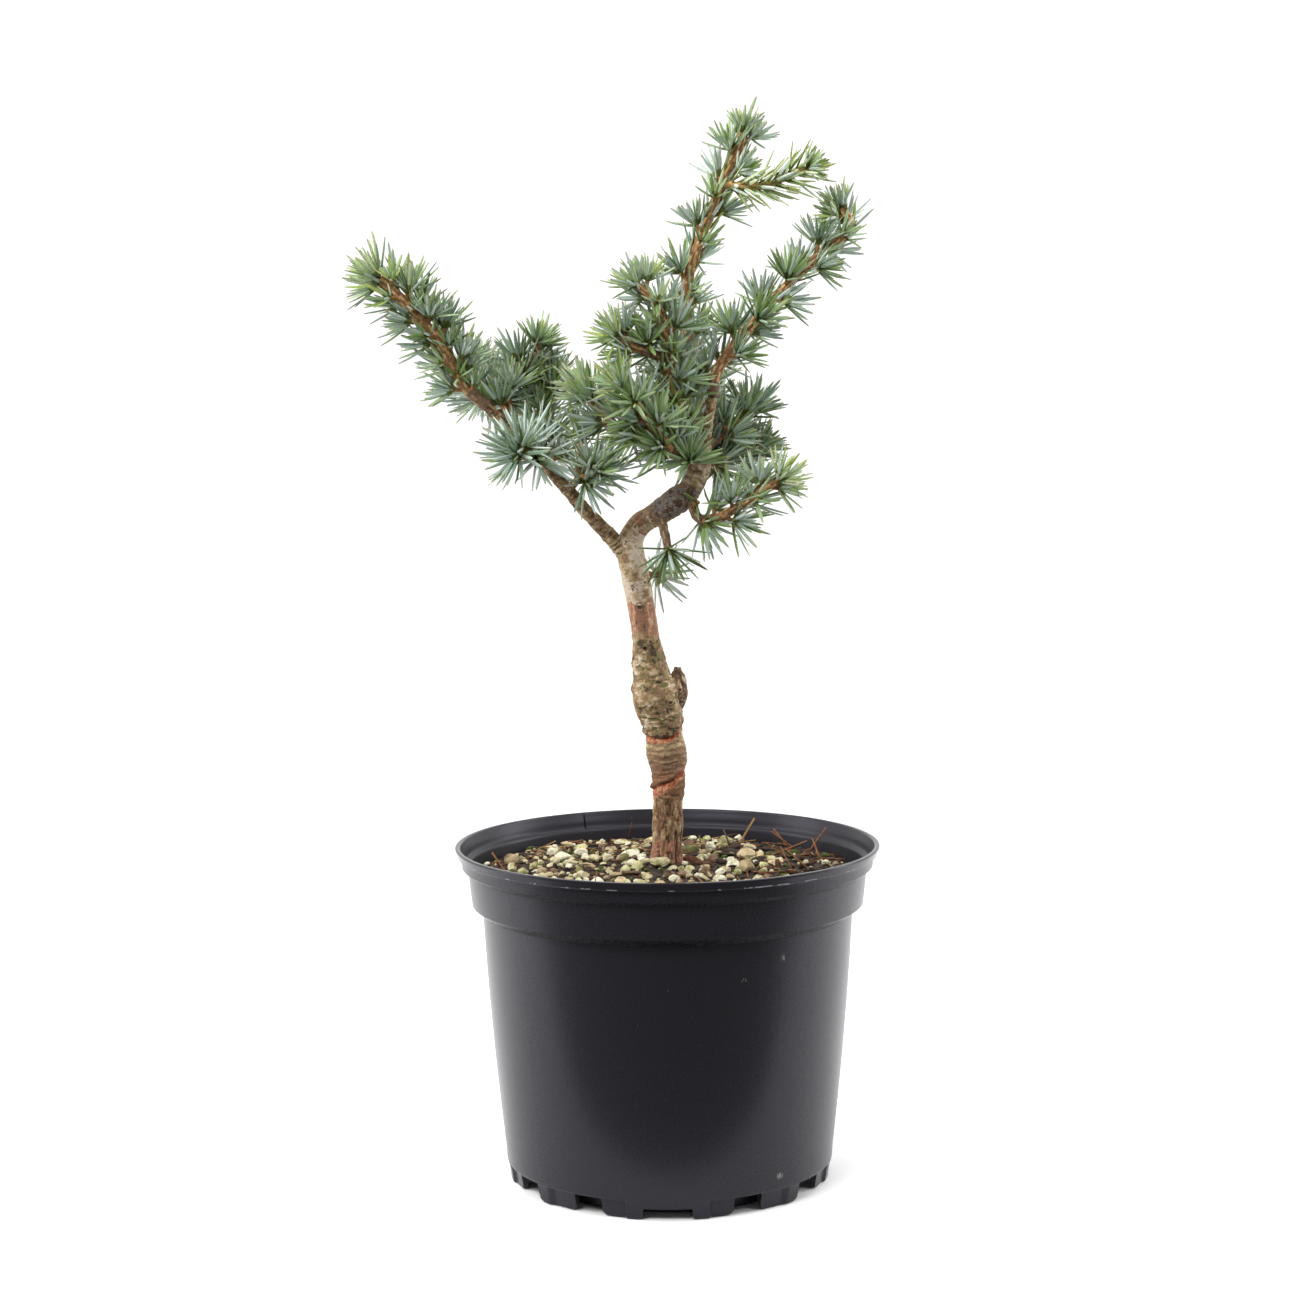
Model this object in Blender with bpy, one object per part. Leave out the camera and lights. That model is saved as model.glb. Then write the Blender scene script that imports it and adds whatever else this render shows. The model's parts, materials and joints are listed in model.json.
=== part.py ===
# A young blue cedar trained as a bonsai, standing in its plain round nursery pot.
# Metres, +Z up. The origin is on the pot's axis, on the plane that the pot stands on.
# The plant is seen from -Y: bearings are degrees from +X towards +Y, rises are degrees above level.
import math
import random

import bmesh
import bpy
import numpy as np
from mathutils import Matrix, Vector

MM = 0.001
GAP = 0.3 * MM
GOLDEN_TURN = math.radians(137.508)

# Pot: radii and heights of its outside, from the foot to the lip
POT_HEIGHT = 150.5 * MM
LIP_RADIUS = 94.8 * MM
LIP_BOTTOM = 146.8 * MM
COLLAR_RADIUS = 92.3 * MM
COLLAR_FOOT = 142.2 * MM
BAND_TOP_RADIUS = 88.9 * MM
BAND_TOP = 139.6 * MM
BAND_FOOT_RADIUS = 87.6 * MM
BAND_FOOT = 125 * MM
BODY_TOP_RADIUS = 82.7 * MM
BODY_TOP = 119.5 * MM
BODY_MID_RADIUS = 80.3 * MM
BODY_MID = 82 * MM
BODY_FOOT_RADIUS = 73.5 * MM
BODY_FOOT = 9.5 * MM
SKIRT_RADIUS = 72.4 * MM
SKIRT_TOP = 5.5 * MM
UNDERSIDE = 8.5 * MM
FOOT_RADIUS = 71.8 * MM
FOOT_WIDTH = 5.4 * MM
FOOT_STEP = 1.2 * MM
WALL = 1.5 * MM
FLOOR_THICKNESS = 2 * MM
HUB_RADIUS = 15 * MM
POT_SIDES = 48

# Twelve feet. Four wide low gaps, at the front, back and sides. On both sides of the front and of the back:
# two higher gaps, and the part of each foot beside them that steps back, as (bearing from the middle, width)
FEET_TURN = -1.1
WIDE_GAP = 17
WIDE_GAP_TOP = 4.7 * MM
HIGH_GAPS = ((28.95, 10.7), (58.75, 14.5))
FOOT_STEPS = ((29.7, 29.6), (63.25, 23.5))

# Growing medium
SOIL_AT_TRUNK = 140.7 * MM
SOIL_AT_WALL = 137 * MM
SOIL_SEAT_RADIUS = 11 * MM
SOIL_LUMP = 1.1 * MM
SOIL_SIDES = 24

# Trunk: foot, legs as (length in mm, bearing, rise), girth as (mm along, radius in mm)
TRUNK_FOOT = Vector((-0.8 * MM, 8 * MM, 141 * MM))
TRUNK_LEGS = [
    (30.1, 0, 87), (15.0, 180, 89), (20.4, -160, 82), (23.6, -168, 78), (22.8, -161, 82),
    (20.4, 180, 80), (12.6, 179, 82), (9.6, -13, 62), (9.7, -14, 32), (11.1, -19, 33),
    (7.9, -10, 42), (11.1, 1, 66), (7.5, 64, 82), (8.6, 118, 66),
]
TRUNK_GIRTH = [
    (0, 7.6), (7, 6.8), (27, 6.7), (33, 7.4), (43, 7.9), (50, 9.0), (58, 8.3), (68, 10.2), (76, 10.9),
    (86, 8.4), (94, 7.2), (101, 6.0), (110, 5.9), (128, 6.1), (138, 6.2), (150, 5.3), (160, 5.0),
    (168, 5.7), (175, 6.3), (183, 5.2), (195, 4.5), (204, 3.9), (210, 3.0),
]
TRUNK_SIDES = 12
ROOT_LOBES = 5
ROOT_LOBE_DEPTH = 0.9 * MM
ROOT_FLARE_HEIGHT = 14 * MM

# Dead stub of the stock, cut off beside the graft
SNAG_AT = 66
SNAG_LEGS = [(13.0, 0, 59), (11.2, 46, 83)]
SNAG_GIRTH = [(0, 6.4), (12, 5.8), (19, 3.9), (24, 1.5)]

# Main boughs: the limb each grows from, how far along it, legs, girth
BOUGHS = {
    "bough_left": ("trunk", 137, [
        (17.7, -166, 47), (14.2, -156, 45), (17.0, -170, 50), (16.6, 161, 45), (15.8, 160, 42),
        (14.6, 180, 47),
    ], [(0, 3.4), (14, 3.1), (60, 2.7), (96, 2.4)]),
    "bough_leader": ("trunk", 210, [(13.9, 82, 54), (7.7, 106, 67)], [(0, 2.5), (22, 2.1)]),
    "bough_right": ("trunk", 200, [(15.5, -65, 66), (10.8, -49, 75)], [(0, 2.7), (26, 2.1)]),
}
BOUGH_SIDES = 8

# Masses of foliage: the limb each grows from, how far along it, legs, radius of its stem at the root and
# at the tip in mm, needle length in mm, and its side twig as (mm along, legs, needle length)
MASSES = {
    "foliage_left_tip": ("bough_left", 95.5, [
        (14.7, -169, 43), (19.5, -143, 59), (16.4, -164, 50), (15.0, -163, 46), (8.5, -170, 44),
    ], 2.3, 1.7, 22, None),
    "foliage_left_upright": ("bough_left", 83, [
        (15.7, 83, 59), (13.7, 46, 53), (14.7, 39, 49),
    ], 1.8, 1.4, 18, None),
    "foliage_left_face": ("bough_left", 60, [(26.2, -111, 10)], 1.8, 1.5, 23, None),
    "foliage_left_under": ("bough_left", 43, [(11.4, -58, 28), (11.8, -38, 16)], 1.7, 1.4, 21,
                           (10, [(19.0, 75, 72)], 19)),
    "foliage_left_inner": ("bough_left", 54, [
        (18.6, 105, 35), (13.8, 102, 69), (19.8, 53, 63),
    ], 1.8, 1.4, 17, None),
    "foliage_centre_left": ("trunk", 191, [
        (18.6, -124, 26), (15.1, -137, 38), (14.1, -140, 48), (13.1, -147, 47),
    ], 2.0, 1.5, 19, (34, [(13.9, 154, 2), (16.8, 155, 34), (11.9, 150, 47)], 17)),
    "foliage_centre_front": ("trunk", 206, [
        (17.3, -133, 48), (12.9, -124, 48), (14.0, -99, 69), (16.0, -118, 74), (11.8, -159, 60),
        (8.2, -171, 43),
    ], 2.0, 1.5, 18, (44, [(12.4, -155, 16), (13.6, -156, 27)], 17)),
    "foliage_leader": ("bough_leader", 21.6, [
        (13.7, 119, 76), (24.4, 154, 79), (21.1, -24, 77), (21.1, -15, 68), (18.2, -16, 67),
        (13.6, -18, 62), (5.7, -2, 81),
    ], 2.1, 1.5, 15.5, (93, [(10.2, -27, -5), (11.1, -21, 0), (12.1, -21, 19), (7.2, -17, 20)], 12)),
    "foliage_right_tip": ("bough_right", 26.3, [
        (10.6, 0, 80), (16.2, -6, 55), (17.2, 5, 49), (28.6, 14, 44), (12.9, 23, 37), (12.9, 12, 42),
        (9.0, 167, 64),
    ], 2.1, 1.4, 16, None),
    "foliage_right_mid": ("trunk", 200.5, [(16.3, 47, 25), (13.2, 44, 29), (9.0, 37, 34)], 1.8, 1.4, 16, None),
    "foliage_right_back": ("trunk", 194, [(15.3, 66, 2), (17.5, 54, 6), (14.0, 39, 18)], 1.8, 1.4, 17, None),
    "foliage_right_low": ("trunk", 182, [
        (14.0, -64, -55), (8.9, -13, 0), (10.2, -19, 26), (21.8, -19, 33),
    ], 2.0, 1.5, 18, None),
    "foliage_crook_spur": ("trunk", 164, [(10.8, -71, -38), (9.2, -68, -62)], 1.7, 1.5, 24, None),
    "foliage_trunk_spur": ("trunk", 131, [(15.5, 52, -4)], 1.7, 1.5, 20, None),
    "foliage_back_left": ("bough_left", 92.5, [(26.8, 97, 13), (27.4, 101, 14), (21.1, 104, 13)], 1.9, 1.4, 18, None),
    "foliage_back_centre": ("bough_leader", 11, [(27.0, 98, 29), (31.4, 106, 22)], 1.9, 1.4, 18, None),
    "foliage_back_right": ("trunk", 198, [(26.6, 106, 13), (30.4, 78, 22), (21.4, 70, 19)], 1.9, 1.4, 18, None),
}
STEM_SIDES = 5
SOLE_SPUR_LENGTH = 22
SPUR_SPACING = 8.8 * MM
SPUR_LEAN = math.radians(35)
SPUR_UPTURN = 0.3
SPUR_CORE_RADIUS = 2.45 * MM
SPUR_FULLNESS = -0.4
NEEDLE_SHARE = 2.2 * MM
NEEDLE_LIMB_CLEARANCE = 1.5 * MM
NEEDLE_SPREAD = 1.3 * MM
TIP_NEEDLE_SHARE = 0.82
LEADING_NEEDLE_SHARE = 1.25
SOLVER = "MANIFOLD"

# Colours as sRGB hex, then roughness
FINISHES = {
    "pot": ("2b2c2f", 0.38),
    "growing_medium": ("7d705c", 0.95),
    "trunk": ("8f7d66", 0.85),
    "bough": ("9a866b", 0.85),
    "foliage": ("84a09b", 0.55),
}


def linear_colour(code):
    channels = [int(code[i:i + 2], 16) / 255 for i in (0, 2, 4)]
    return [c / 12.92 if c <= 0.04045 else ((c + 0.055) / 1.055) ** 2.4 for c in channels] + [1.0]


def finish(name):
    code, roughness = FINISHES[name]
    mat = bpy.data.materials.new(name)
    mat.use_nodes = True
    shader = mat.node_tree.nodes["Principled BSDF"]
    shader.inputs["Base Color"].default_value = linear_colour(code)
    shader.inputs["Roughness"].default_value = roughness
    shader.inputs["Metallic"].default_value = 0.0
    mat.diffuse_color = linear_colour(code)
    return mat


def make_object(name, points, faces, mat=None, collection=None):
    mesh = bpy.data.meshes.new(name)
    mesh.from_pydata([tuple(p) for p in points], [], faces)
    mesh.update()
    obj = bpy.data.objects.new(name, mesh)
    (collection or bpy.context.scene.collection).objects.link(obj)
    if mat:
        mesh.materials.append(mat)
    return obj


def smooth_round(obj, angle=40):
    obj.data.shade_smooth()
    obj.data.set_sharp_from_angle(angle=math.radians(angle))


def direction(bearing, rise):
    b = math.radians(bearing)
    r = math.radians(rise)
    return Vector((math.cos(b) * math.cos(r), math.sin(b) * math.cos(r), math.sin(r)))


def interpolate(table, x):
    xs = [row[0] for row in table]
    ys = [row[1] for row in table]
    return float(np.interp(x, xs, ys))


# A limb's centre line: a smooth curve through the ends of its legs
class Limb:
    def __init__(self, start, legs, girth):
        corners = [start.copy()]
        for length, bearing, rise in legs:
            corners.append(corners[-1] + direction(bearing, rise) * length * MM)
        self.marks = np.concatenate([[0], np.cumsum([leg[0] for leg in legs])])
        self.corners = corners
        self.girth = girth
        self.length = float(self.marks[-1])

    def point(self, along):
        along = min(max(along, 0.0), self.length)
        i = int(np.searchsorted(self.marks, along, side="right")) - 1
        i = min(max(i, 0), len(self.corners) - 2)
        t = (along - self.marks[i]) / (self.marks[i + 1] - self.marks[i])
        c = self.corners
        p1, p2 = c[i], c[i + 1]
        p0 = c[i - 1] if i > 0 else p1 * 2 - p2
        p3 = c[i + 2] if i + 2 < len(c) else p2 * 2 - p1
        return 0.5 * (2 * p1 + (p2 - p0) * t + (2 * p0 - 5 * p1 + 4 * p2 - p3) * t ** 2
                      + (3 * p1 - p0 - 3 * p2 + p3) * t ** 3)

    def heading(self, along):
        return (self.point(along + 0.5) - self.point(along - 0.5)).normalized()

    def radius(self, along):
        return interpolate(self.girth, along) * MM

    def samples(self, step=1.5):
        count = max(2, int(self.length / step) + 1)
        stations = np.linspace(0, self.length, count)
        return (np.array([self.point(s) for s in stations]), np.array([self.radius(s) for s in stations]))


# A limb's skin: rings of the given number of sides carried along the centre line without twist
def limb_skin(limb, stations, sides, extra=0.0, lobes=None):
    side = Vector((0, 1, 0))
    points = []
    for along in stations:
        centre = limb.point(along)
        if along <= 0:
            centre = centre - limb.heading(0) * extra
        if along >= limb.length:
            centre = centre + limb.heading(limb.length) * extra
        ahead = limb.heading(along)
        side = (side - ahead * side.dot(ahead)).normalized()
        across = ahead.cross(side)
        for k in range(sides):
            turn = 2 * math.pi * k / sides
            reach = limb.radius(along) + extra
            if lobes:
                reach += lobes(along, turn)
            points.append(centre + (side * math.cos(turn) + across * math.sin(turn)) * reach)
    rings = len(stations)
    faces = []
    for i in range(rings - 1):
        for k in range(sides):
            n = (k + 1) % sides
            faces.append((i * sides + k, i * sides + n, (i + 1) * sides + n, (i + 1) * sides + k))
    faces.append(tuple(reversed(range(sides))))
    faces.append(tuple(range((rings - 1) * sides, rings * sides)))
    return points, faces


def stations_along(limb, spacing):
    count = max(2, int(round(limb.length / spacing)) + 1)
    return list(np.linspace(0, limb.length, count))


def boolean(obj, other, operation, solver):
    mod = obj.modifiers.new("join", "BOOLEAN")
    mod.operation = operation
    mod.solver = solver
    if isinstance(other, bpy.types.Collection):
        mod.operand_type = "COLLECTION"
        mod.collection = other
    else:
        mod.object = other
    graph = bpy.context.evaluated_depsgraph_get()
    mesh = bpy.data.meshes.new_from_object(obj.evaluated_get(graph))
    obj.modifiers.clear()
    obj.data = mesh


def drop(things):
    for obj in list(things):
        bpy.data.objects.remove(obj, do_unlink=True)


# Only the largest closed piece stays: loose scraps and sealed hollows go
def keep_largest(obj):
    bm = bmesh.new()
    bm.from_mesh(obj.data)
    bmesh.ops.triangulate(bm, faces=bm.faces[:])
    bmesh.ops.remove_doubles(bm, verts=bm.verts[:], dist=0.000002)
    bmesh.ops.dissolve_degenerate(bm, edges=bm.edges[:], dist=0.000002)
    bmesh.ops.triangulate(bm, faces=bm.faces[:])
    unseen = set(bm.verts)
    islands = []
    while unseen:
        stack = [unseen.pop()]
        island = set(stack)
        while stack:
            vert = stack.pop()
            for edge in vert.link_edges:
                other = edge.other_vert(vert)
                if other in unseen:
                    unseen.discard(other)
                    island.add(other)
                    stack.append(other)
        islands.append(island)
    islands.sort(key=len, reverse=True)
    for island in islands[1:]:
        bmesh.ops.delete(bm, geom=list(island), context="VERTS")
    bm.to_mesh(obj.data)
    bm.free()
    return len(islands) - 1


# Pot: one turned shell, with the gaps between its feet cut out
def make_pot():
    outside = [
        (HUB_RADIUS, 0), (HUB_RADIUS, UNDERSIDE), (FOOT_RADIUS - FOOT_WIDTH, UNDERSIDE),
        (FOOT_RADIUS - FOOT_WIDTH, 0), (FOOT_RADIUS, 0), (SKIRT_RADIUS, SKIRT_TOP),
        (BODY_FOOT_RADIUS, BODY_FOOT), (BODY_MID_RADIUS, BODY_MID), (BODY_TOP_RADIUS, BODY_TOP),
        (BAND_FOOT_RADIUS, BAND_FOOT), (BAND_TOP_RADIUS, BAND_TOP), (COLLAR_RADIUS - 0.4 * MM, COLLAR_FOOT),
        (COLLAR_RADIUS, LIP_BOTTOM), (LIP_RADIUS - 1.0 * MM, LIP_BOTTOM),
        (LIP_RADIUS, POT_HEIGHT - 1.0 * MM), (LIP_RADIUS - 0.8 * MM, POT_HEIGHT),
    ]
    inside = [
        (LIP_RADIUS - 2.3 * MM, POT_HEIGHT - 0.2 * MM), (COLLAR_RADIUS - WALL, LIP_BOTTOM - 0.4 * MM),
        (COLLAR_RADIUS - 0.4 * MM - WALL, COLLAR_FOOT + 1.2 * MM), (87.8 * MM, COLLAR_FOOT + 0.7 * MM),
        (BAND_TOP_RADIUS - WALL, BAND_TOP), (BAND_FOOT_RADIUS - WALL, BAND_FOOT + 1 * MM),
        (BODY_TOP_RADIUS - WALL, BODY_TOP - 0.5 * MM), (BODY_MID_RADIUS - WALL, BODY_MID),
        (BODY_FOOT_RADIUS - WALL, BODY_FOOT + 3.5 * MM), (70.2 * MM, UNDERSIDE + FLOOR_THICKNESS),
    ]
    profile = outside + inside
    points = [(0, 0, 0)]
    for radius, height in profile:
        for k in range(POT_SIDES):
            turn = 2 * math.pi * (k + 0.5) / POT_SIDES
            points.append((radius * math.cos(turn), radius * math.sin(turn), height))
    points.append((0, 0, UNDERSIDE + FLOOR_THICKNESS))
    last = len(points) - 1
    faces = []
    for k in range(POT_SIDES):
        n = (k + 1) % POT_SIDES
        faces.append((0, 1 + n, 1 + k))
        top = 1 + (len(profile) - 1) * POT_SIDES
        faces.append((last, top + k, top + n))
        for i in range(len(profile) - 1):
            a = 1 + i * POT_SIDES
            b = a + POT_SIDES
            faces.append((a + k, a + n, b + n, b + k))
    pot = make_object("pot", points, faces, finish("pot"))
    cutters = bpy.data.collections.new("gap cutters")
    bpy.context.scene.collection.children.link(cutters)
    for quarter in range(4):
        wedge(FEET_TURN + 90 * quarter, WIDE_GAP, WIDE_GAP_TOP, FOOT_RADIUS - 8 * MM, cutters)
    for middle in (-90, 90):
        for way in (-1, 1):
            for bearing, width in HIGH_GAPS:
                turn = FEET_TURN + middle + way * bearing
                wedge(turn, width, UNDERSIDE - GAP, FOOT_RADIUS - 8 * MM, cutters)
            for bearing, width in FOOT_STEPS:
                turn = FEET_TURN + middle + way * bearing
                wedge(turn, width, UNDERSIDE - 2 * GAP, FOOT_RADIUS - FOOT_STEP, cutters)
    boolean(pot, cutters, "DIFFERENCE", "EXACT")
    drop(cutters.objects)
    bpy.data.collections.remove(cutters)
    keep_largest(pot)
    smooth_round(pot)
    return pot


# A wedge that opens a gap of the given width in degrees, from below the pot up to its top
def wedge(bearing, width, top, inner, collection):
    half = math.radians(width / 2)
    middle = math.radians(bearing)
    outer = 80 * MM
    points = []
    for height in (-2 * MM, top):
        for radius, turn in ((inner, -half), (outer, -half), (outer, half), (inner, half)):
            points.append((radius * math.cos(middle + turn), radius * math.sin(middle + turn), height))
    faces = [(3, 2, 1, 0), (4, 5, 6, 7), (0, 1, 5, 4), (1, 2, 6, 5), (2, 3, 7, 6), (3, 0, 4, 7)]
    cutter = make_object("gap cutter", points, faces, None, collection)
    cutter.hide_render = True
    cutter.display_type = "WIRE"


# Growing medium: fills the pot to just below the collar, mounded a little towards the trunk
def make_medium():
    rng = random.Random(11)
    floor = UNDERSIDE + FLOOR_THICKNESS + GAP
    sides = [
        (70.2 * MM - 2 * GAP, floor), (BODY_FOOT_RADIUS - WALL - 2 * GAP, BODY_FOOT + 3.9 * MM),
        (BODY_MID_RADIUS - WALL - GAP, BODY_MID), (BODY_TOP_RADIUS - WALL - GAP, BODY_TOP),
        (BAND_FOOT_RADIUS - WALL - GAP, BAND_FOOT + 2 * MM), (86.9 * MM - GAP, SOIL_AT_WALL),
    ]
    points = [(0, 0, floor)]
    for radius, height in sides:
        for k in range(SOIL_SIDES):
            turn = 2 * math.pi * (k + 0.25) / SOIL_SIDES
            points.append((radius * math.cos(turn), radius * math.sin(turn), height))
    rings = [74, 58, 42, 27]
    for radius in rings:
        for k in range(SOIL_SIDES):
            turn = 2 * math.pi * (k + 0.25) / SOIL_SIDES
            share = 1 - radius * MM / (86 * MM)
            height = SOIL_AT_WALL + (SOIL_AT_TRUNK - SOIL_AT_WALL) * share + rng.uniform(-1, 0.4) * SOIL_LUMP
            points.append((radius * MM * math.cos(turn), radius * MM * math.sin(turn), height))
    seat = Vector((TRUNK_FOOT.x, TRUNK_FOOT.y, SOIL_AT_TRUNK))
    for k in range(SOIL_SIDES):
        turn = 2 * math.pi * (k + 0.25) / SOIL_SIDES
        points.append(seat + Vector((math.cos(turn), math.sin(turn), 0)) * SOIL_SEAT_RADIUS)
    points.append(seat)
    last = len(points) - 1
    count = len(sides) + len(rings) + 1
    faces = []
    for k in range(SOIL_SIDES):
        n = (k + 1) % SOIL_SIDES
        faces.append((0, 1 + n, 1 + k))
        top = 1 + (count - 1) * SOIL_SIDES
        faces.append((last, top + k, top + n))
        for i in range(count - 1):
            a = 1 + i * SOIL_SIDES
            b = a + SOIL_SIDES
            faces.append((a + k, a + n, b + n, b + k))
    return make_object("growing_medium", points, faces, finish("growing_medium"))


def root_flare(along, turn):
    fade = max(0.0, 1 - along * MM / ROOT_FLARE_HEIGHT)
    return ROOT_LOBE_DEPTH * fade * fade * math.cos(ROOT_LOBES * turn + 0.6)


def make_trunk(limbs):
    limb = limbs["trunk"]
    extra = [3, 14, 20, 39, 63, 81, 118, 134, 144, 155, 164, 171, 179, 189, 200]
    stations = sorted(set([row[0] for row in TRUNK_GIRTH] + extra))
    stations[-1] = limb.length
    points, faces = limb_skin(limb, stations, TRUNK_SIDES, 0.0, root_flare)
    # The cut at soil level is flat
    for k in range(TRUNK_SIDES):
        points[k].z = TRUNK_FOOT.z
    trunk = make_object("trunk", points, faces, finish("trunk"))
    snag = limbs["snag"]
    points, faces = limb_skin(snag, stations_along(snag, 4), 9)
    stub = make_object("snag", points, faces)
    boolean(trunk, stub, "UNION", "EXACT")
    drop([stub])
    keep_largest(trunk)
    smooth_round(trunk, 60)
    return trunk


# The swollen copy of a limb, by which whatever grows from it is trimmed to a close seat
def seat_cutter(limb, sides, lobes=None):
    stations = stations_along(limb, 4)
    points, faces = limb_skin(limb, stations, sides, GAP / math.cos(math.pi / sides) + 0.03 * MM, lobes)
    return make_object("seat cutter", points, faces)


def make_bough(name, limbs, mat):
    parent = BOUGHS[name][0]
    limb = limbs[name]
    points, faces = limb_skin(limb, stations_along(limb, 8), BOUGH_SIDES)
    bough = make_object(name, points, faces, mat)
    cutter = seat_cutter(limbs[parent], TRUNK_SIDES)
    boolean(bough, cutter, "DIFFERENCE", "EXACT")
    drop([cutter])
    keep_largest(bough)
    smooth_round(bough, 60)
    return bough


# The space that a mass keeps to: nearer to its own stems than to any other's, and clear of the limbs
class Space:
    def __init__(self, name, stems, limbs):
        self.own = np.concatenate([stem.samples()[0] for stem in stems[name]])
        self.others = np.concatenate([s.samples()[0] for n in stems if n != name for s in stems[n]])
        picked = [limb.samples() for limb in limbs.values()]
        self.limb_points = np.concatenate([p for p, r in picked])
        self.limb_radii = np.concatenate([r for p, r in picked])
        self.needles = np.zeros((0, 3))

    def holds(self, points, check_needles=True):
        pts = np.array(points)
        own = np.linalg.norm(pts[:, None] - self.own[None], axis=2).min(axis=1)
        other = np.linalg.norm(pts[:, None] - self.others[None], axis=2).min(axis=1)
        if (other < own + NEEDLE_SHARE).any():
            return False
        limb = (np.linalg.norm(pts[:, None] - self.limb_points[None], axis=2) - self.limb_radii).min(axis=1)
        if (limb < NEEDLE_LIMB_CLEARANCE).any():
            return False
        if (own[2:] < 3.2 * MM).any():
            return False
        if check_needles and len(self.needles):
            apart = np.linalg.norm(pts[2:, None] - self.needles[None], axis=2).min()
            if apart < NEEDLE_SPREAD:
                return False
        return True


# A spur: a small twenty-faced core whose outward faces are drawn out into three-sided tapering needles
def make_spur(name, centre, axis, lead, reach, space, rng, collection, tip=False):
    bm = bmesh.new()
    bmesh.ops.create_icosphere(bm, subdivisions=1, radius=SPUR_CORE_RADIUS)
    bm.normal_update()
    bm.faces.ensure_lookup_table()
    turn = bm.faces[0].normal.rotation_difference(axis).to_matrix().to_4x4()
    spin = Matrix.Rotation(rng.uniform(0, 2 * math.pi), 4, axis)
    bm.transform(Matrix.Translation(centre) @ spin @ turn)
    bm.normal_update()
    grown = []
    for face in [f for f in bm.faces if f.normal.dot(axis) > SPUR_FULLNESS]:
        way = (face.normal + axis * 0.12 + lead * 0.16).normalized()
        foot = face.calc_center_median()
        for share in (1.0, 0.8, 0.6):
            length = reach * share * rng.uniform(0.93, 1.05)
            if tip and face.normal.dot(axis) > 0.95:
                length *= LEADING_NEEDLE_SHARE
            samples = [foot + way * length * t for t in np.linspace(0.16, 1.0, 9)]
            if not space.holds(samples):
                continue
            grown.append(samples)
            point = bm.verts.new(foot + way * length)
            corners = list(face.verts)
            bm.faces.remove(face)
            for i in range(3):
                bm.faces.new((corners[i], corners[(i + 1) % 3], point))
            break
    for samples in grown:
        space.needles = np.concatenate([space.needles, np.array(samples)])
    mesh = bpy.data.meshes.new(name)
    bm.to_mesh(mesh)
    bm.free()
    obj = bpy.data.objects.new(name, mesh)
    collection.objects.link(obj)
    return len(grown)


def make_mass(name, stems, limbs, mat):
    parent, at, legs, root, tip, reach, side = MASSES[name]
    rng = random.Random(name)
    space = Space(name, stems, limbs)
    parts = bpy.data.collections.new(name + " parts")
    bpy.context.scene.collection.children.link(parts)
    mass = None
    needles = 0
    for index, stem in enumerate(stems[name]):
        points, faces = limb_skin(stem, stations_along(stem, 9), STEM_SIDES)
        if index == 0:
            mass = make_object(name, points, faces, mat)
            full = reach * MM
        else:
            make_object(name + " side", points, faces, None, parts)
            full = side[2] * MM
        heading = stem.heading(stem.length)
        end = stem.point(stem.length)
        needles += make_spur("tip", end, heading, heading, full * TIP_NEEDLE_SHARE, space, rng, parts, True)
        first = 7.5 if stem.length > 24 else 0.45 * stem.length
        last = stem.length - 5.5
        count = int((last - first) * MM / SPUR_SPACING) + 1 if stem.length > SOLE_SPUR_LENGTH else 0
        turn = rng.uniform(0, 2 * math.pi)
        for k in range(count):
            along = last - k * (last - first) / max(1, count - 1)
            heading = stem.heading(along)
            turn += GOLDEN_TURN
            outward = Matrix.Rotation(turn, 3, heading) @ heading.orthogonal().normalized()
            axis = outward * math.cos(SPUR_LEAN) + heading * math.sin(SPUR_LEAN)
            axis = (axis + Vector((0, 0, SPUR_UPTURN))).normalized()
            centre = stem.point(along) + outward * (stem.radius(along) + 0.4 * MM)
            near_tip = TIP_NEEDLE_SHARE + (1 - TIP_NEEDLE_SHARE) * min(1.0, (stem.length - along) / 30)
            needles += make_spur("spur", centre, axis, heading, full * near_tip, space, rng, parts)
    boolean(mass, parts, "UNION", SOLVER)
    drop(parts.objects)
    bpy.data.collections.remove(parts)
    cutter = seat_cutter(limbs[parent], TRUNK_SIDES if parent == "trunk" else BOUGH_SIDES)
    boolean(mass, cutter, "DIFFERENCE", SOLVER)
    drop([cutter])
    scraps = keep_largest(mass)
    print(name, "needles", needles, "triangles", len(mass.data.polygons), "scraps", scraps)
    return mass


drop(bpy.data.objects)

limbs = {"trunk": Limb(TRUNK_FOOT, TRUNK_LEGS, TRUNK_GIRTH)}
limbs["snag"] = Limb(limbs["trunk"].point(SNAG_AT), SNAG_LEGS, SNAG_GIRTH)
for name, (parent, at, legs, girth) in BOUGHS.items():
    limbs[name] = Limb(limbs[parent].point(at), legs, girth)
stems = {}
for name, (parent, at, legs, root, tip, reach, side) in MASSES.items():
    length = sum(leg[0] for leg in legs)
    stem = Limb(limbs[parent].point(at), legs, [(0, root), (length, tip)])
    stems[name] = [stem]
    if side:
        length = sum(leg[0] for leg in side[1])
        stems[name].append(Limb(stem.point(side[0]), side[1], [(0, root - 0.3), (length, tip)]))

make_pot()
make_medium()
make_trunk(limbs)
bough_finish = finish("bough")
for name in BOUGHS:
    make_bough(name, limbs, bough_finish)
foliage_finish = finish("foliage")
for name in MASSES:
    make_mass(name, stems, limbs, foliage_finish)
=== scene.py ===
import json
import math

import bpy
import numpy as np
from mathutils import Matrix, Vector

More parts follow.
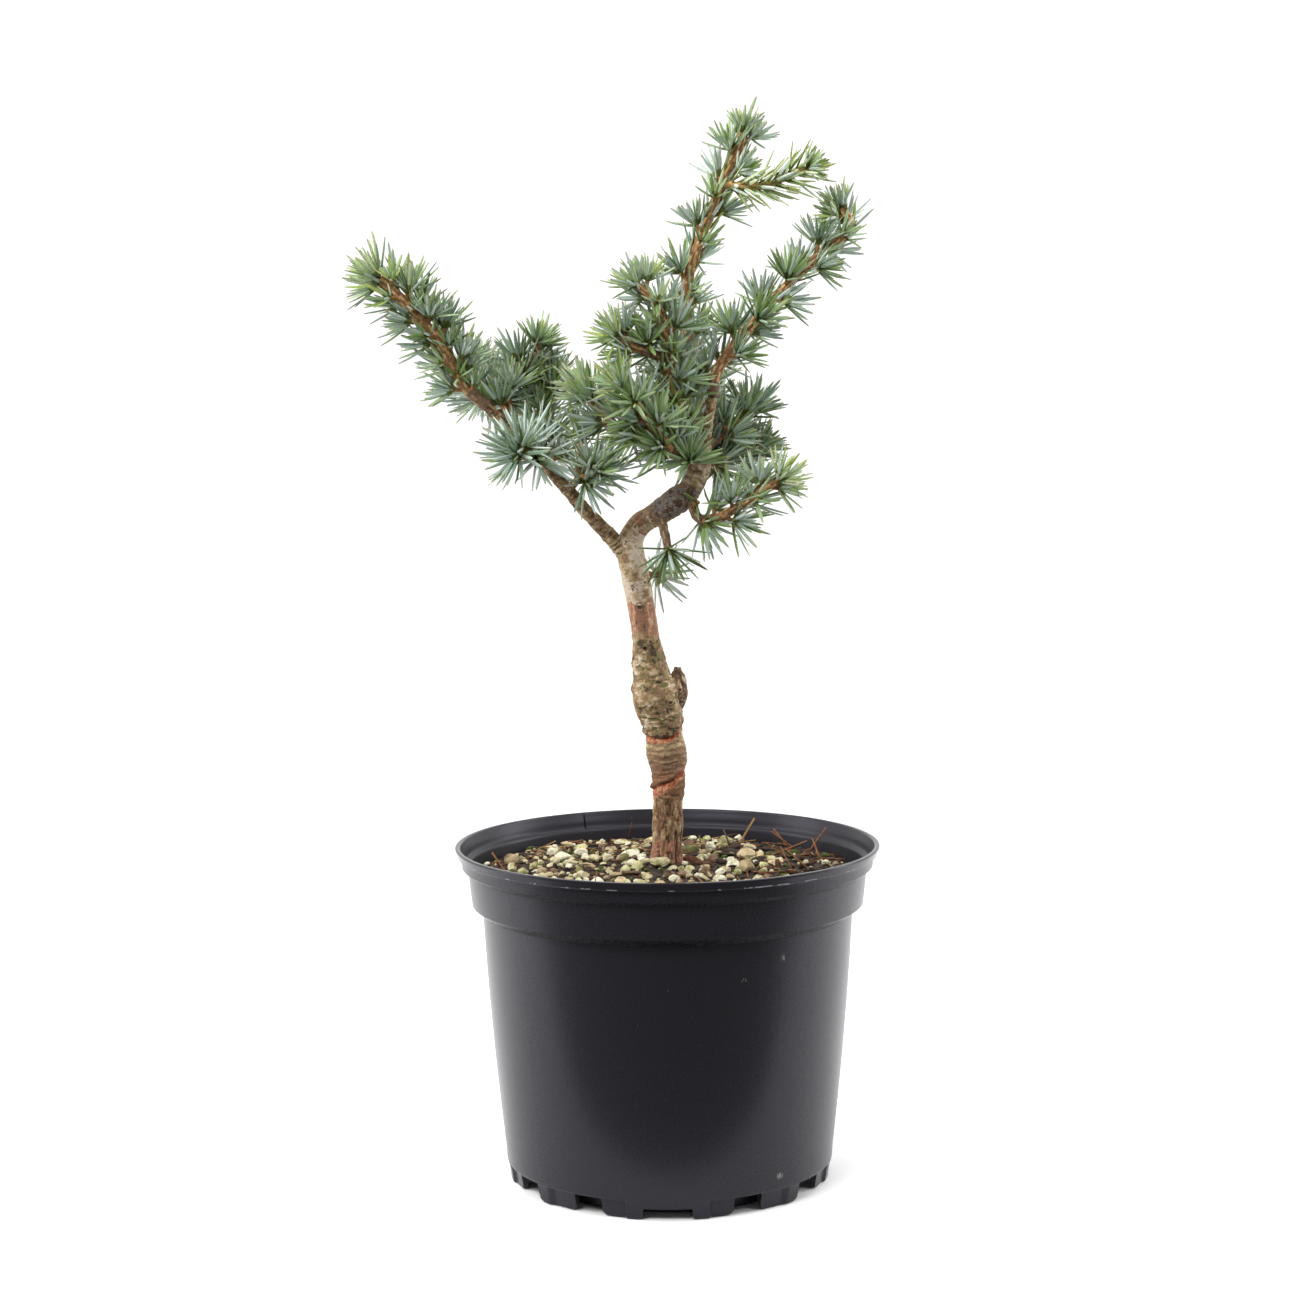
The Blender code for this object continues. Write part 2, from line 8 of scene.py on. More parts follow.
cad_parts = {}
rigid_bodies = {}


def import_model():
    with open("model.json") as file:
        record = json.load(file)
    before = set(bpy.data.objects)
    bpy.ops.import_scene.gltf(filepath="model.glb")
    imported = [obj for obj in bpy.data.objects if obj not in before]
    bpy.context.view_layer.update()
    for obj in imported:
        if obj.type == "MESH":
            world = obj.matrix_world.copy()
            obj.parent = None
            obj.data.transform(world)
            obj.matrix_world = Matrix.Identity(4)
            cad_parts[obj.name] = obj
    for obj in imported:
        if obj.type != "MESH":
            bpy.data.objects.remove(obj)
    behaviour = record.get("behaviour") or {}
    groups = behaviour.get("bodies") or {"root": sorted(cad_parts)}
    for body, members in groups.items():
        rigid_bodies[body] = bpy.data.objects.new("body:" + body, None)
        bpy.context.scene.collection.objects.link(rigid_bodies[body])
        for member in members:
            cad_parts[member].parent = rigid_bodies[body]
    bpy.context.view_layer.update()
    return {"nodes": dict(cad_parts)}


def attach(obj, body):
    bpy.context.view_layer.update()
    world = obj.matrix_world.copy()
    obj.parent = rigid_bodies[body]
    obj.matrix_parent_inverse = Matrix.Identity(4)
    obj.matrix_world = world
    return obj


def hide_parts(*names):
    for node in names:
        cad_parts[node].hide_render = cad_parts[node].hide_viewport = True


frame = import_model()
print("frame loaded:", len(frame["nodes"]), "nodes")

mm = 0.001
goldenTurn = math.radians(137.508)


# Small tools: colours, nodes, noise, meshes

def hexColour(code):
    channels = [int(code[i:i + 2], 16) / 255 for i in (0, 2, 4)]
    return [c / 12.92 if c <= 0.04045 else ((c + 0.055) / 1.055) ** 2.4 for c in channels] + [1.0]


def addNode(tree, kind, settings=None, links=None):
    made = tree.nodes.new(kind)
    for key, value in (settings or {}).items():
        if isinstance(key, int) or key in made.inputs:
            made.inputs[key].default_value = value
        else:
            setattr(made, key, value)
    for socket, source in (links or {}).items():
        tree.links.new(source, made.inputs[socket])
    return made


def startMaterial(name, colour, roughness, ior=1.5, **more):
    mat = bpy.data.materials.new(name)
    mat.use_nodes = True
    tree = mat.node_tree
    shader = tree.nodes["Principled BSDF"]
    shader.inputs["Base Color"].default_value = hexColour(colour)
    shader.inputs["Roughness"].default_value = roughness
    shader.inputs["IOR"].default_value = ior
    for key, value in more.items():
        shader.inputs[key.replace("_", " ")].default_value = value
    return mat, tree, shader


# A noise read in object space, which is metres here, so a scale of 1000/size gives grains of that size in mm
def noiseNode(tree, size, detail=2.0, roughness=0.5, vector=None):
    vector = vector or addNode(tree, "ShaderNodeTexCoord").outputs["Object"]
    settings = {"Scale": 1000.0 / size, "Detail": detail, "Roughness": roughness}
    return addNode(tree, "ShaderNodeTexNoise", settings, {"Vector": vector}).outputs["Fac"]


def remap(tree, value, low, high, toLow, toHigh):
    limits = {1: low, 2: high, 3: toLow, 4: toHigh}
    return addNode(tree, "ShaderNodeMapRange", limits, {0: value}).outputs["Result"]


def addBump(tree, shader, height, strength, distance):
    bump = addNode(tree, "ShaderNodeBump", {"Strength": strength, "Distance": distance}, {"Height": height})
    tree.links.new(bump.outputs["Normal"], shader.inputs["Normal"])


# What a grainy material is made of: the noise's detail and roughness, where its dark ends and its light
# begins, the noise of its relief (none where the colour's own is used), and that relief's strength and
# depth in metres
grainKinds = {
    # young bark: thin, dry and finely ridged lengthways
    "twig": {"roughness": 0.8, "ior": 1.45, "noise": (5.0, 0.65), "stops": (0.36, 0.66),
             "fine": (0.5, 4.0, 0.7), "bump": (0.7, 0.0002)},
    # damp compost: near-black brown crumbs with lighter fibres
    "earth": {"roughness": 0.95, "ior": 1.4, "noise": (6.0, 0.7), "stops": (0.38, 0.72),
              "fine": None, "bump": (0.8, 0.0008)},
    # weathered limestone grit: matt and pale, stained in places by algae or soil
    "stone": {"roughness": 0.88, "ior": 1.5, "noise": (5.0, 0.65), "stops": (0.62, 0.80),
              "fine": (0.8, 3.0), "bump": (0.5, 0.0003)},
    # dry conifer bark: matt, with fine flaking under the modelled cracks
    "bark": {"roughness": 0.86, "ior": 1.45, "noise": (7.0, 0.7), "stops": (0.34, 0.66),
             "fine": (0.45, 5.0, 0.75), "bump": (0.8, 0.00025)},
}


def grainMaterial(kindName, name, dark, light, grain, shift=0.0):
    kind = grainKinds[kindName]
    mat, tree, shader = startMaterial(name, dark, kind["roughness"], kind["ior"])
    noise = noiseNode(tree, grain, *kind["noise"])
    ramp = addNode(tree, "ShaderNodeValToRGB", links={"Fac": noise})
    for element, stop, colour in zip(ramp.color_ramp.elements, kind["stops"], (dark, light)):
        element.position = stop - shift
        element.color = hexColour(colour)
    tree.links.new(ramp.outputs["Color"], shader.inputs["Base Color"])
    addBump(tree, shader, noiseNode(tree, *kind["fine"]) if kind["fine"] else noise, *kind["bump"])
    return mat


# Smooth noise from -1 to 1, with its corners one unit apart
def valueNoise(p, seed=0):
    cell = np.floor(p).astype(np.int64)
    f = p - cell
    f = f * f * (3 - 2 * f)
    total = np.zeros(len(p))
    for dx in (0, 1):
        wx = f[:, 0] if dx else 1 - f[:, 0]
        for dy in (0, 1):
            wy = f[:, 1] if dy else 1 - f[:, 1]
            for dz in (0, 1):
                wz = f[:, 2] if dz else 1 - f[:, 2]
                h = (cell[:, 0] + dx) * 374761 + (cell[:, 1] + dy) * 668265
                h = h + (cell[:, 2] + dz) * 982451 + seed * 15731
                h = (h ^ (h >> 13)) * 1274126177
                h = (h ^ (h >> 16)) & 0xffff
                h = (h * 40503 + 977) & 0xffff
                total += wx * wy * wz * (h / 32767.5 - 1)
    return total


def layeredNoise(p, seed=0, layers=3):
    total = np.zeros(len(p))
    size = 1.0
    for k in range(layers):
        total += valueNoise(p / size, seed + k) * size
        size *= 0.5
    return total / 1.6


# 0 below low, 1 above high, and smooth between them
def stepUp(x, low, high):
    t = np.clip((x - low) / (high - low), 0, 1)
    return t * t * (3 - 2 * t)


def roundTurns(sides):
    return np.linspace(0, 2 * math.pi, sides, endpoint=False)


# A unit vector at a turn round Z and a rise above level, both in radians
def direction(turn, rise):
    return np.array([math.cos(turn) * math.cos(rise), math.sin(turn) * math.cos(rise), math.sin(rise)])


def unit(way):
    return way / np.linalg.norm(way)


# How far a turn is from another one, in degrees, whichever way round is shorter
def turnBetween(turn, other):
    return np.abs((turn - other + 180) % 360 - 180)


def makeMesh(name, points, faces, materials, faceMaterial=None, smooth=True):
    mesh = bpy.data.meshes.new(name)
    points = np.asarray(points, dtype=np.float32)
    sizes = np.concatenate([np.full(len(f), f.shape[1]) for f in faces]).astype(np.int32)
    corners = np.concatenate([f.reshape(-1) for f in faces]).astype(np.int32)
    mesh.vertices.add(len(points))
    mesh.vertices.foreach_set("co", points.reshape(-1))
    mesh.loops.add(len(corners))
    mesh.loops.foreach_set("vertex_index", corners)
    mesh.polygons.add(len(sizes))
    mesh.polygons.foreach_set("loop_start", np.concatenate([[0], np.cumsum(sizes)[:-1]]).astype(np.int32))
    mesh.polygons.foreach_set("loop_total", sizes)
    for mat in materials:
        mesh.materials.append(mat)
    if faceMaterial is not None:
        mesh.polygons.foreach_set("material_index", np.asarray(faceMaterial, dtype=np.int32))
    mesh.polygons.foreach_set("use_smooth", np.full(len(sizes), smooth))
    mesh.update(calc_edges=True)
    mesh.validate()
    obj = bpy.data.objects.new(name, mesh)
    bpy.context.scene.collection.objects.link(obj)
    return obj


def place(obj, slotName, *nodes):
    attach(obj, "root")
    if nodes:
        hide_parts(*nodes)
    return obj


# Limbs: the same legs and girths as the solids, in mm. A leg is its length, its bearing and its rise
# above level in degrees, with bearing 0 along +X and 90 along +Y. A girth is mm along and the radius there

def buildLimb(start, legs, girth):
    corners = [np.array(start, float)]
    for length, bearing, rise in legs:
        corners.append(corners[-1] + direction(math.radians(bearing), math.radians(rise)) * length)
    marks = np.concatenate([[0], np.cumsum([leg[0] for leg in legs])])
    return {"corners": np.array(corners), "marks": marks, "girth": girth, "length": float(marks[-1])}


def limbPoints(limb, along):
    along = np.clip(np.atleast_1d(np.asarray(along, float)), 0, limb["length"])
    marks, c = limb["marks"], limb["corners"]
    i = np.clip(np.searchsorted(marks, along, side="right") - 1, 0, len(c) - 2)
    t = ((along - marks[i]) / (marks[i + 1] - marks[i]))[:, None]
    wide = np.vstack([c[0] * 2 - c[1], c, c[-1] * 2 - c[-2]])
    p0, p1, p2, p3 = wide[i], wide[i + 1], wide[i + 2], wide[i + 3]
    return 0.5 * (2 * p1 + (p2 - p0) * t + (2 * p0 - 5 * p1 + 4 * p2 - p3) * t ** 2
                  + (3 * p1 - p0 - 3 * p2 + p3) * t ** 3)


def limbHeading(limb, along):
    d = limbPoints(limb, np.atleast_1d(along) + 0.5) - limbPoints(limb, np.atleast_1d(along) - 0.5)
    return d / np.linalg.norm(d, axis=1)[:, None]


# The point at a distance along a limb, and the limb's heading there
def spotOn(limb, along):
    return limbPoints(limb, along)[0], limbHeading(limb, along)[0]


def limbRadius(limb, along):
    return np.interp(along, [g[0] for g in limb["girth"]], [g[1] for g in limb["girth"]])


# A limb's surface as a grid of rings: their centres, and each point's way out, radius and distance along
def limbGrid(limb, step, ringSides):
    stations = np.linspace(0.0, limb["length"], max(3, int(limb["length"] / step) + 1))
    centres, ahead = limbPoints(limb, stations), limbHeading(limb, stations)
    side, sides = np.array([0.0, 1.0, 0.0]), []
    for way in ahead:
        side = unit(side - way * side.dot(way))
        sides.append(side)
    sides = np.array(sides)
    across = np.cross(ahead, sides)
    turn = roundTurns(ringSides)[None, :, None]
    out = sides[:, None] * np.cos(turn) + across[:, None] * np.sin(turn)
    radius = limbRadius(limb, stations)[:, None] + np.zeros(ringSides)
    along = stations[:, None] + np.zeros(ringSides)
    return centres, out, radius, along


# Quads between rings that follow each other
def gridFaces(rings, ringSides, first=0):
    i = np.arange(rings - 1)[:, None]
    k = np.arange(ringSides)[None, :]
    n = (k + 1) % ringSides
    low, high = i * ringSides, (i + 1) * ringSides
    return np.stack([low + k, low + n, high + n, high + k], axis=2).reshape(-1, 4) + first


# What the trunk and boughs are: the legs and girths of the solids
limbSizes = {
    "trunk": ((-0.8, 8, 141), [
        (30.1, 0, 87), (15.0, 180, 89), (20.4, -160, 82), (23.6, -168, 78), (22.8, -161, 82),
        (20.4, 180, 80), (12.6, 179, 82), (9.6, -13, 62), (9.7, -14, 32), (11.1, -19, 33),
        (7.9, -10, 42), (11.1, 1, 66), (7.5, 64, 82), (8.6, 118, 66)],
        [(0, 7.6), (7, 6.8), (27, 6.7), (33, 7.4), (43, 7.9), (50, 9.0), (58, 8.3), (68, 10.2), (76, 10.9),
         (86, 8.4), (94, 7.2), (101, 6.0), (110, 5.9), (128, 6.1), (138, 6.2), (150, 5.3), (160, 5.0),
         (168, 5.7), (175, 6.3), (183, 5.2), (195, 4.5), (204, 3.9), (210, 3.0)]),
    "snag": ("trunk", 66, [(13.0, 0, 59), (11.2, 46, 83)], [(0, 6.4), (12, 5.8), (19, 3.9), (24, 1.5)]),
    "bough_left": ("trunk", 137, [
        (17.7, -166, 47), (14.2, -156, 45), (17.0, -170, 50), (16.6, 161, 45), (15.8, 160, 42),
        (14.6, 180, 47)], [(0, 3.4), (14, 3.1), (60, 2.7), (96, 2.4)]),
    "bough_leader": ("trunk", 210, [(13.9, 82, 54), (7.7, 106, 67)], [(0, 2.5), (22, 2.1)]),
    "bough_right": ("trunk", 200, [(15.5, -65, 66), (10.8, -49, 75)], [(0, 2.7), (26, 2.1)]),
}

# Each mass of foliage: the limb it grows from, mm along it, the stem's legs, its radius at root and tip,
# needle length, then its side twig as (mm along, legs, needle length, needles in spurs or singly).
# shade: how much of the mass gets darker tones, painted shade where it sits back in shadow as well as old
# needles. young: how far from the tip the new green ones reach.
# old: how far from the root the stem has old bark. fan: degrees from a spray's middle to its outer needles.
# tipShare: needle length at the tip against that lower down. spacing: mm from one spur to the next.
# facing: which way the greener side of a needle looks. bareFront: share of needles kept in front of the
# own stem, but all of them up to coveredTo mm. leading: whether single needles stand along the upper stem.
# leader: length of the one needle that stands on the top
massDefaults = dict(side=None, young=0, old=0, facing=1.0, bareFront=0, coveredTo=0, leading=False, leader=0)
massSizes = {
    "foliage_left_tip": dict(parent="bough_left", at=95.5, legs=[
        (14.7, -169, 43), (19.5, -143, 59), (16.4, -164, 50), (15.0, -163, 46), (8.5, -170, 44)],
        radii=(2.7, 2.2), needle=16.5, shade=0.35, young=26, leading=True, old=12, bareFront=0.3,
        tipShare=1.08, fan=64, spacing=2.67, seed=2940),
    "foliage_left_upright": dict(parent="bough_left", at=83, legs=[
        (15.7, 83, 59), (13.7, 46, 53), (14.7, 39, 49)],
        radii=(1.8, 1.4), needle=18, shade=0.62, young=5, old=8,
        tipShare=0.79, fan=72, spacing=4.32, seed=7048),
    "foliage_left_face": dict(parent="bough_left", at=60, legs=[(26.2, -111, 10)],
        radii=(1.8, 1.5), needle=22.5, shade=0.1, old=8, facing=-1.0,
        tipShare=0.84, fan=84, spacing=4.32, seed=4430),
    "foliage_left_under": dict(parent="bough_left", at=43, legs=[(11.4, -58, 28), (11.8, -38, 16)],
        radii=(1.7, 1.4), needle=21, side=(10, [(19.0, 75, 72)], 21, "spurs"), shade=0.22, old=9,
        facing=-0.4,
        tipShare=0.79, fan=88, spacing=4.7, seed=9906),
    "foliage_left_inner": dict(parent="bough_left", at=54, legs=[
        (18.6, 105, 35), (13.8, 102, 69), (19.8, 53, 63)],
        radii=(1.8, 1.4), needle=18, shade=0.5, young=5, old=9,
        tipShare=0.79, fan=76, spacing=4.32, seed=4864),
    "foliage_centre_left": dict(parent="trunk", at=191, legs=[
        (18.6, -124, 26), (15.1, -137, 38), (14.1, -140, 48), (13.1, -147, 47)],
        radii=(2.2, 1.7), needle=19,
        side=(34, [(13.9, 154, 2), (16.8, 155, 34), (11.9, 150, 47)], 18, "spurs"),
        shade=0.36, young=6, old=26,
        tipShare=0.84, fan=68, spacing=4.7, seed=3478),
    "foliage_centre_front": dict(parent="trunk", at=206, legs=[
        (17.3, -133, 48), (12.9, -124, 48), (14.0, -99, 69), (16.0, -118, 74), (11.8, -159, 60),
        (8.2, -171, 43)],
        radii=(2.3, 1.8), needle=18, side=(44, [(12.4, -155, 16), (13.6, -156, 27)], 18, "spurs"),
        shade=0.25, young=10, old=16, bareFront=0.8,
        tipShare=0.79, fan=76, spacing=4.32, seed=603),
    "foliage_leader": dict(parent="bough_leader", at=21.6, legs=[
        (13.7, 119, 76), (24.4, 154, 79), (21.1, -24, 77), (21.1, -15, 68), (18.2, -16, 67), (13.6, -18, 62),
        (5.7, -2, 81)],
        radii=(2.6, 2.1), needle=16,
        side=(93, [(10.2, -27, -5), (11.1, -21, 0), (12.1, -21, 19), (7.2, -17, 20)], 14, "single"),
        shade=0.4, young=12, leading=True, old=8, leader=17.5, bareFront=0.8,
        tipShare=0.76, fan=68, spacing=7, seed=8054),
    "foliage_right_tip": dict(parent="bough_right", at=26.3, legs=[
        (10.6, 0, 80), (16.2, -6, 55), (17.2, 5, 49), (28.6, 14, 44), (12.9, 23, 37), (12.9, 12, 42),
        (9.0, 167, 64)],
        radii=(2.6, 1.8), needle=16.5, shade=0.5, young=12, leading=True, old=8, bareFront=0.75,
        coveredTo=52, tipShare=0.76, fan=72, spacing=6.4, seed=7042),
    "foliage_right_mid": dict(parent="trunk", at=200.5, legs=[(16.3, 47, 25), (13.2, 44, 29), (9.0, 37, 34)],
        radii=(1.8, 1.4), needle=18.7, shade=0.85, old=22,
        tipShare=0.79, fan=68, spacing=4.7, seed=9384),
    "foliage_right_back": dict(parent="trunk", at=194, legs=[(15.3, 66, 2), (17.5, 54, 6), (14.0, 39, 18)],
        radii=(1.8, 1.4), needle=18, shade=0.8, old=22,
        tipShare=0.79, fan=76, spacing=4.32, seed=1033),
    "foliage_right_low": dict(parent="trunk", at=182, legs=[
        (14.0, -64, -55), (8.9, -13, 0), (10.2, -19, 26), (21.8, -19, 33)],
        radii=(2.3, 1.8), needle=20, shade=0.35, young=10, old=20, bareFront=0.6,
        tipShare=0.79, fan=74, spacing=4.7, seed=8421),
    "foliage_crook_spur": dict(parent="trunk", at=164, legs=[(10.8, -71, -38), (9.2, -68, -62)],
        radii=(2.1, 1.9), needle=25, shade=0.45, old=30,
        tipShare=0.79, fan=84, spacing=4.7, seed=2919),
    "foliage_trunk_spur": dict(parent="trunk", at=131, legs=[(15.5, 52, -4)],
        radii=(1.7, 1.5), needle=22, shade=0.45, old=24,
        tipShare=0.79, fan=96, spacing=4.32, seed=5264),
    "foliage_back_left": dict(parent="bough_left", at=92.5, legs=[
        (26.8, 97, 13), (27.4, 101, 14), (21.1, 104, 13)],
        radii=(1.9, 1.4), needle=18, shade=0.4, young=6,
        tipShare=0.84, fan=68, spacing=4.7, seed=7780),
    "foliage_back_centre": dict(parent="bough_leader", at=11, legs=[(27.0, 98, 29), (31.4, 106, 22)],
        radii=(1.9, 1.4), needle=18.7, shade=0.4, young=6,
        tipShare=0.89, fan=72, spacing=4.32, seed=4711),
    "foliage_back_right": dict(parent="trunk", at=198, legs=[
        (26.6, 106, 13), (30.4, 78, 22), (21.4, 70, 19)],
        radii=(1.9, 1.4), needle=18, shade=0.4, young=6,
        tipShare=0.84, fan=76, spacing=4.32, seed=6547),
}

limbs = {"trunk": buildLimb(*limbSizes["trunk"])}
for name, (parent, at, legs, girth) in list(limbSizes.items())[1:]:
    limbs[name] = buildLimb(limbPoints(limbs[parent], at)[0], legs, girth)
print("limbs laid out")


# Pot: injection-moulded black polypropylene, satin, with dust specks and a few pale scuffs
pot = {
    # gaps between the feet, in degrees from the middle of front or back, and how high they are in mm. Above
    # the window height the wall is plain
    "feetTurn": -1.1, "wideGap": (8.5, 4.7), "highGaps": ((23.6, 34.3), (51.5, 66.0)), "highTop": 8.0,
    "window": 8.3,
    # where a foot's outside steps back: from and to in the same degrees, and how soft each side is
    "steps": ((14.9, 34.3, 0.5), (30.0, 44.8, 1.5), (52.0, 75.0, 0.8)), "stepDepth": 1.3,
    "colour": "212024", "insideColour": "28272b", "rimRoughness": 0.17, "roughness": 0.27, "shine": 0.30,
    "sheen": "e6e3f4",
    # the mould's split lines inside the rim: bearings, heights, how proud one side stands, how far round
    # that fades out, and the groove's half width in degrees and depth
    "splits": (115.3, 295.3), "splitHeights": (143.2, 149.6), "splitStep": 0.5, "splitFade": 36,
    "splitGroove": (0.32, 0.7),
    # heights of the dull ledges painted dark as shade, of the rim and of the flash under the lip, and the
    # bearings between which the flash is painted pale all along as a highlight
    "ledges": ((121.0, 124.8), (139.4, 141.6)), "rimFrom": 147.3, "flash": (146.74, 147.1),
    "paintedHighlight": (288.4, 302.6), "flashWearAndHighlightColour": "828387", "ledgeShadeColour": "121214", "ledgeShine": 0.18,
    # pale scuffs: bearing, height and size in mm
    "scuffs": ((-75.1, 7.2, 2.2), (-50.2, 14.5, 3.0), (-54.0, 112.7, 2.6), (-67.1, 104.9, 2.2)),
    "scuffColour": "a9a49c", "dust": "3f3e41",
    # the wall's radius at some heights, in mm: roughly, and then closely near the feet
    "wall": ([0, 8, 14, 58, 117], [71.7, 73.2, 73.7, 78.3, 82.5]), "footRadius": 71,
    "footOutline": ([0.0, 0.5, 1.2, 3.0, 5.5, 7.4, 9.5], [71.5, 71.75, 71.9, 72.15, 72.5, 73.0, 73.5]),
    "insideFrom": 92.66,
    "underside": ((61.8, 8.5), (61.5, 8.2), (61.2, 0.5), (60.9, 0.2), (59.2, 0.2), (58.9, 0.5), (58.6, 8.5),
                  (16.0, 8.5), (15.2, 8.2), (15.0, 0.4), (14.6, 0.0), (0.4, 0.0)),
}
# the rings above the feet, up the outside, over the rim and down the inside, as radius and height in mm
potRings = [
    (73.22, 8.55), (73.4, 9.1), (73.52, 9.8), (73.7, 13.2),
    (76.2, 36.0), (78.3, 58.0), (80.3, 82.0), (81.6, 101.0), (82.55, 117.6),
    (82.72, 121.3), (84.3, 122.47), (85.9, 123.65), (87.5, 124.85), (88.2, 131.0), (88.72, 136.4),
    (88.94, 139.55), (89.9, 140.27), (90.85, 140.98), (91.78, 141.7), (92.0, 144.6), (92.15, 146.1),
    (92.3, 146.5), (92.65, 146.7), (93.3, 146.72), (93.66, 146.8),
    (93.9, 147.02), (94.0, 147.4), (94.35, 148.5), (94.72, 149.6), (94.82, 150.0), (94.72, 150.34),
    (94.42, 150.52), (93.9, 150.56), (93.0, 150.54), (92.66, 150.4), (92.45, 150.1), (92.3, 149.6),
    (91.7, 147.8), (91.1, 146.4), (90.9, 145.4), (90.62, 143.9), (90.42, 143.55), (90.0, 143.32),
    (88.6, 142.98), (88.12, 142.8), (87.88, 142.4), (87.75, 141.4), (87.3, 137.0), (86.35, 128.0),
    (85.9, 126.6), (81.3, 119.0), (78.8, 82.0), (72.4, 14.0), (70.6, 10.6)]


def potMaterial(name="Moulded black polypropylene, satin", base=pot["colour"], roughness=pot["roughness"],
                shine=pot["shine"]):
    # black PP reads as charcoal with a broad satin sheen; fine dust and orange-peel bump break the sheen up
    mat, tree, shader = startMaterial(name, base, roughness, 1.49, Specular_IOR_Level=shine,
                                      Specular_Tint=hexColour(pot["sheen"]))
    specks = remap(tree, noiseNode(tree, 1.6, 3.0, 0.6), 0.735, 0.80, 0.0, 1.0)
    film = noiseNode(tree, 0.5, 3.0, 0.7)
    dust = addNode(tree, "ShaderNodeMath", {"operation": "MAXIMUM"},
                   {0: specks, 1: remap(tree, film, 0.3, 0.7, 0.0, 0.03)})
    colour = addNode(tree, "ShaderNodeMixRGB", {"Color1": hexColour(base), "Color2": hexColour(pot["dust"])},
                     {"Fac": dust.outputs["Value"]}).outputs["Color"]
    # scuffs: streaky pale scratches inside a small round patch
    place3d = addNode(tree, "ShaderNodeTexCoord").outputs["Object"]
    streaks = addNode(tree, "ShaderNodeMapping", {"Scale": (1.0, 1.0, 0.35), "Rotation": (0.0, 0.5, 0.0)},
                      {"Vector": place3d})
    scratch = noiseNode(tree, 0.7, 3.0, vector=streaks.outputs["Vector"])
    for bearing, height, size in pot["scuffs"]:
        radius = np.interp(height, *pot["wall"])
        turn = math.radians(bearing)
        spot = (radius * math.cos(turn) * mm, radius * math.sin(turn) * mm, height * mm)
        gap = addNode(tree, "ShaderNodeVectorMath", {"operation": "DISTANCE", 1: spot}, {0: place3d})
        near = remap(tree, gap.outputs["Value"], size * 0.25 * mm, size * mm, 0.14, -0.2)
        both = addNode(tree, "ShaderNodeMath", {"operation": "ADD"}, {0: near, 1: scratch})
        mask = remap(tree, both.outputs["Value"], 0.56, 0.66, 0.0, 0.42)
        colour = addNode(tree, "ShaderNodeMixRGB", {"Color2": hexColour(pot["scuffColour"])},
                         {"Fac": mask, "Color1": colour}).outputs["Color"]
    tree.links.new(colour, shader.inputs["Base Color"])
    gloss = remap(tree, film, 0.3, 0.7, roughness - 0.01, roughness + 0.02)
    tree.links.new(gloss, shader.inputs["Roughness"])
    addBump(tree, shader, noiseNode(tree, 2.4, 1.0), 0.008, 0.0001)
    return mat


# Bearing from the middle of the front or the back, 0 to 90 degrees, alike on both sides
def fromMiddle(turns):
    a = (turns - pot["feetTurn"] + 90.0) % 180.0
    return np.minimum(a, 180.0 - a)


# How high the wall's lower edge stands: 0 on a foot, the gap's top between two feet, with rounded corners
def footEdge(turns):
    b = fromMiddle(turns)
    height = np.zeros(len(turns))
    half, wideTop = pot["wideGap"]
    gaps = [(middle - half, middle + half, wideTop, 1.8) for middle in (0, 90)]
    gaps += [(low, high, pot["highTop"], 3.2) for low, high in pot["highGaps"]]
    for low, high, top, corner in gaps:
        into = np.maximum(low - b, b - high) * math.pi / 180 * pot["footRadius"]
        round0 = corner - np.sqrt(np.maximum(corner ** 2 - (corner - np.clip(into, 0, corner)) ** 2, 0))
        fillet = 0.8 - np.sqrt(np.maximum(0.64 - (0.8 - np.clip(-into, 0, 0.8)) ** 2, 0))
        height = np.maximum(height, np.where(into > 0, round0 * 0.85, top - fillet))
    return height


def footStep(turns):
    b = fromMiddle(turns)
    depth = np.zeros(len(turns))
    for low, high, soft in pot["steps"]:
        inside = stepUp(b, low - soft, low + soft) * (1 - stepUp(b, high - soft, high + soft))
        depth = np.maximum(depth, inside)
    return depth * pot["stepDepth"]


# Where the columns of the wall's grid stand: close together at the feet's corners, their steps and the
# split lines
def potColumns():
    marks = [pot["wideGap"][0], 90 - pot["wideGap"][0]] + [edge for gap in pot["highGaps"] for edge in gap]
    near = [sign * off for off in (0.02, 0.12, 0.4, 0.8, 1.3, 2.2, 3.2) for sign in (-1, 1)]
    bearings = [mark + off / pot["footRadius"] * 180 / math.pi for mark in marks for off in near]
    for low, high, soft in pot["steps"]:
        bearings += [low - soft, low, low + soft, high - soft, high, high + soft]
    bearings += list(np.arange(1.0, 90, 1.4))
    wide = pot["splitGroove"][0]
    beside = (-wide - 0.03, 0.03 - wide, wide - 0.03, wide + 0.03)
    turns = {split + side for split in pot["splits"] for side in beside}
    for b in bearings:
        for turn in (b, -b, 180 - b, 180 + b):
            turns.add(round((turn - 90 + pot["feetTurn"]) % 360, 3))
    turns = np.array(sorted(turns))
    return turns[np.concatenate([[True], np.diff(turns) > 0.015])]


def ringPoints(rows, angle):
    return np.concatenate([np.stack([q * np.cos(angle), q * np.sin(angle), z], axis=1) for q, z in rows])


# The wall from the feet's edge to where the even rings begin, as (radius, height) for each column
def footRows(turns, edge):
    step, same = footStep(turns), np.ones(len(turns))
    outline, window = pot["footOutline"], pot["window"]
    rows = []
    for share in (0.0, 0.02, 0.06, 0.14, 0.3, 0.5, 0.7, 0.88, 0.985):
        z = edge + (window - edge) * share
        foot = 0.55 * max(0.0, 1 - share / 0.06) ** 2
        rows.append((np.interp(z, *outline) - step - foot - 0.05, z))
    rows.append((np.interp(window, *outline) - step * 0.95, same * (window - 0.03)))
    rows.append((np.interp(window + 0.1, *outline) - step * 0.12, same * (window + 0.02)))
    return rows


